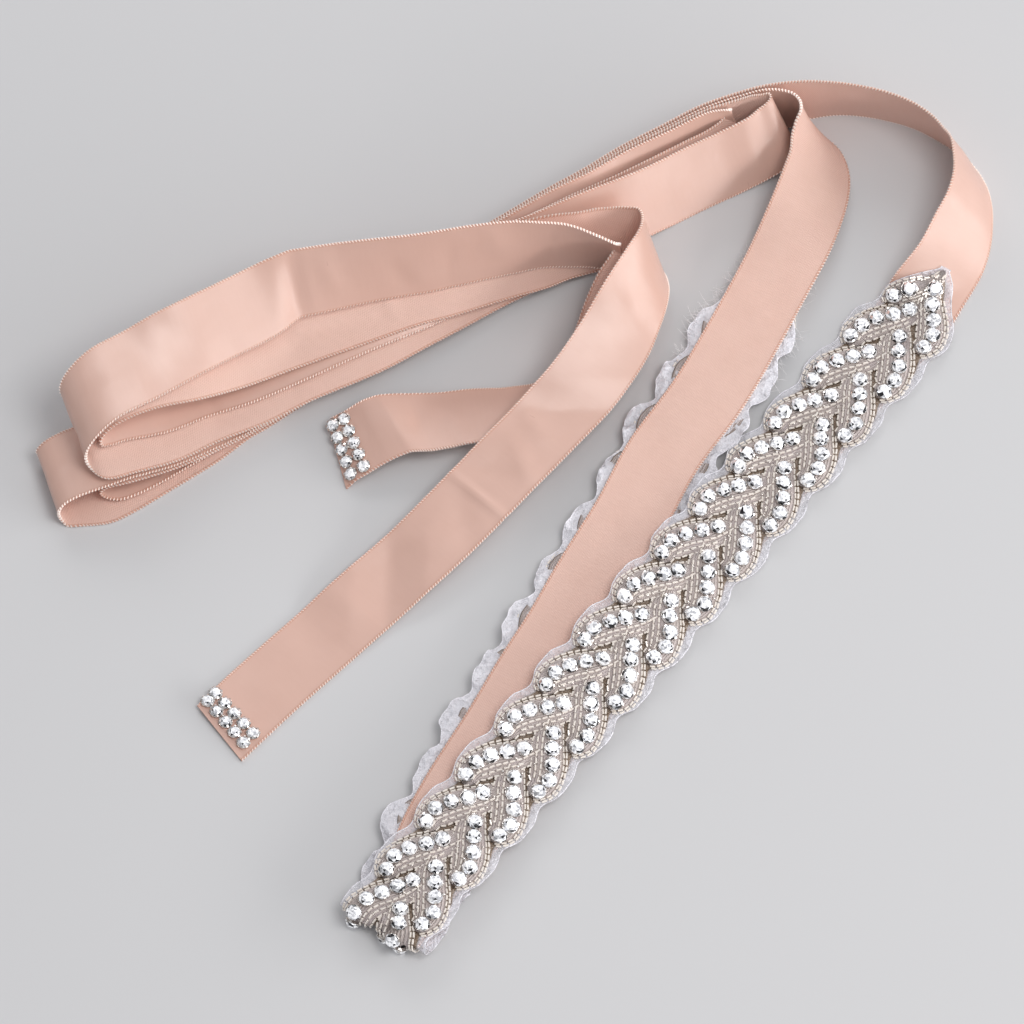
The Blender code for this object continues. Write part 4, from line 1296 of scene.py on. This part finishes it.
# Claw-set crystals in single file along every leaf.
def makeCrystals(chosen):
    pitch, away, lean = (crystalSizes[key] for key in ("pitch", "uneven", "lean"))
    parts = np.linspace(0.0, 1.0, 61)
    frames = []
    for leaf in leaves:
        place, points, along = leafLine(leaf, parts, -0.26 * leaf[1])
        shorter = plaitSizes["leafLength"] - leafLength(leaf[0])
        room = along[-1] - crystalSizes["first"] - crystalSizes["last"] - 0.4 * shorter
        for number in range(int(room / pitch) + 1):
            mark = crystalSizes["first"] + pitch * number
            where = float(np.interp(mark, along, place))
            if where < 4.5 or where > plaitLength - 3.0:
                continue
            middle, width, face = curve.at(plaitOrigin + where)
            spot = follow([mark], along, points)[0] + width[0] * chosen.uniform(-away, away)
            up = -face[0] + width[0] * chosen.uniform(-lean, lean)
            up = unit(up + np.cross(width[0], face[0]) * chosen.uniform(-lean, lean))
            first, second = squareFrame(up, width[0], chosen.uniform(0.0, 6.28))
            frames.append((spot - up * crystalSizes["sunk"], first, second, up))
    lowest = crystalSizes["lowest"]
    shape = crystalShape(crystalSizes["radius"], crystalSizes["raised"])
    facets = facetLooks(len(frames), chosen)
    stones = makeCopies("plait_crystals", shape, frames, crystalLooks, lowest, None, facets)
    shape = cupShape(crystalSizes["cupRadius"], crystalSizes["cupHeight"])
    cups = makeCopies("plait_claw_cups", shape, frames, [cupLook], lowest, 40)
    print("crystals", len(frames))


seedLook = specked(
    "silver seed bead", beadSizes["seedTones"], 500.0, 2.0, Metallic=0.7, Roughness=0.14,
)


# Small round beads scattered on the grounds between the crystals and the bugle rows.
def makeSeeds(chosen):
    corners = 6
    shape = [(0.0, 0.0, -1.0)]
    for level in (-0.75, -0.1, 0.62):
        shape += ring(math.sqrt(1.0 - level * level), level, corners)
    shape.append((0.0, 0.0, 1.0))
    frames = []
    for leaf in leaves:
        for number in range(beadSizes["seedsPerLeaf"]):
            part = chosen.uniform(0.10, 0.92)
            lateral = chosen.choice([-0.75, -0.68, -0.25, 0.78]) * -leaf[1]
            place, offset, height = leafPoint(leaf, np.array([part]), lateral)
            if not 2.0 < place[0] < plaitLength - 2.0:
                continue
            spot = stripPoints(place, offset, height + 0.2)[0]
            size = beadSizes["seedRadius"] * chosen.uniform(0.7, 1.1)
            middle, width, face = curve.at(plaitOrigin + place[0])
            first, second = squareFrame(-face[0], width[0], chosen.uniform(0.0, 6.28))
            frames.append((spot, first * size, second * size, -face[0] * size * 0.8))
    shape = (shape, grainFaces(3, corners))
    piece = makeCopies("seed_beads", shape, frames, [seedLook], beadSizes["seedLowest"], 80)
    print("seeds", len(frames))


filmPiece, filmArea = makeFilm(np.random.RandomState(11))
makeGrounds()
makeBugles(np.random.RandomState(21))
makeCrystals(np.random.RandomState(22))
makeSeeds(np.random.RandomState(23))
makeHairs(np.random.RandomState(24))
plaitLength * mm
filmArea * mm * mm

endStoneSizes = {
    "radius": 2.05,
    "rimRadius": 2.296,
    "rimHeight": 1.35,
    "across": 5,
    "pitch": 4.8,
    "lift": 0.25,
    "raised": 0.3,
    "lean": 0.05,
    "topInsets": (4.0, 8.4),    # the two lines' distances from the cut end
    "underInsets": (2.6, 7.0),
    "topFirst": 10.8,           # the first stone's place across
    "underFirst": 9.6,
}


# Two lines of five round stones in silver rims near each cut end.
def makeEndStones(chosen):
    frames = []
    nodes = []
    for end in ("top", "under"):
        for line, inset in enumerate(endStoneSizes[end + "Insets"]):
            where = inset if end == "under" else ribbonLength - inset
            middle, width, face = (rows[0] for rows in curve.at(where))
            up = face if face[2] > 0.0 else -face
            for number in range(endStoneSizes["across"]):
                offset = endStoneSizes[end + "First"] - endStoneSizes["pitch"] * number
                height = relief(np.array([where]), np.array([offset]))[0]
                spot = middle + width * offset + face * height + up * endStoneSizes["lift"]
                lean = chosen.uniform(-endStoneSizes["lean"], endStoneSizes["lean"])
                tilt = unit(up + width * lean)
                first, second = squareFrame(tilt, width, chosen.uniform(0.0, 6.28))
                frames.append((spot, first, second, tilt))
                nodes.append("stone_%s_%d_%d" % (end, line + 1, number + 1))
    shape = crystalShape(endStoneSizes["radius"], endStoneSizes["raised"])
    facets = facetLooks(len(frames), chosen)
    stones = makeCopies("end_stones", shape, frames, crystalLooks, faceLooks=facets)
    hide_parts(*nodes)
    shape = cupShape(endStoneSizes["rimRadius"], endStoneSizes["rimHeight"], 8)
    rims = makeCopies("end_stone_rims", shape, frames, [cupLook], sharp=40)
    print("end stones", len(frames))


makeEndStones(np.random.RandomState(31))

stageSizes = {
    "floorHalf": 3.0,
    "floor": (0.62, 0.62, 0.63),
    "cameraTilt": 60.0,
    "cameraDistance": 6.0,
    "viewWidth": 336.84,    # millimetres across the picture
    "surround": 0.56,
    "surroundTone": (0.80, 0.80, 0.82),
    "surroundLean": 0.30,   # how much more light comes from the right than from the middle
    "exposure": 0.03,
}

# Each lamp's place, width and height in metres, power and colour.
lamps = {
    "overhead softbox": ((0.55, -0.35, 1.48), (0.8, 0.8), 9.5, (1.0, 0.99, 0.98)),
    "side softbox": ((1.5, -0.35, 0.40), (2.2, 0.30), 15.0, (1.0, 0.99, 0.98)),
    "back softbox": ((-0.3, 1.4, 0.8), (1.2, 0.5), 6.5, (1.0, 1.0, 1.0)),
    "fill": ((-1.2, -0.6, 0.9), (1.0, 1.0), 1.5, (0.97, 0.98, 1.0)),
}


def makeFloor():
    half = stageSizes["floorHalf"]
    look = Look("pale floor", Roughness=0.9, Base_Color=stageSizes["floor"])
    mesh = bpy.data.meshes.new("floor")
    corners = [(-half, -half, 0.0), (half, -half, 0.0), (half, half, 0.0), (-half, half, 0.0)]
    mesh.from_pydata(corners, [], [(0, 1, 2, 3)])
    mesh.materials.append(look.material)
    floor = addObject("floor", mesh)


def aim(item, place, direction):
    item.location = place
    item.rotation_euler = direction.to_track_quat("-Z", "Y").to_euler()


def makeLamp(name, place, size, power, colour):
    lamp = bpy.data.lights.new(name, "AREA")
    lamp.shape = "RECTANGLE"
    lamp.size, lamp.size_y = size
    lamp.energy = power
    lamp.color = colour
    aim(addObject(name, lamp), place, -Vector(place))


def makeCamera():
    tilt = math.radians(stageSizes["cameraTilt"])
    target = Vector(ribbonSizes["boxMiddle"]) * -mm
    toCamera = Vector((0.0, -math.cos(tilt), math.sin(tilt)))
    camera = bpy.data.cameras.new("camera")
    camera.sensor_width = 36.0
    camera.lens = 36.0 * stageSizes["cameraDistance"] / (stageSizes["viewWidth"] * mm)
    camera.clip_end = 50.0
    item = addObject("camera", camera)
    aim(item, target + toCamera * stageSizes["cameraDistance"], -toCamera)
    bpy.context.scene.camera = item


def makeWorld():
    world = bpy.data.worlds.new("studio")
    bpy.context.scene.world = world
    sky = Nodes(world)
    toRight = sky.split(sky.add("ShaderNodeTexCoord"), 0)
    level = toRight * stageSizes["surroundLean"] + stageSizes["surround"]
    sky.fill(sky.tree.nodes["Background"], {0: stageSizes["surroundTone"], 1: level})


makeFloor()
for lampName, lampValues in lamps.items():
    makeLamp(lampName, *lampValues)
makeCamera()
makeWorld()
bpy.context.scene.view_settings.view_transform = "Standard"
bpy.context.scene.view_settings.exposure = stageSizes["exposure"]
print("floor, lamps, camera and world")
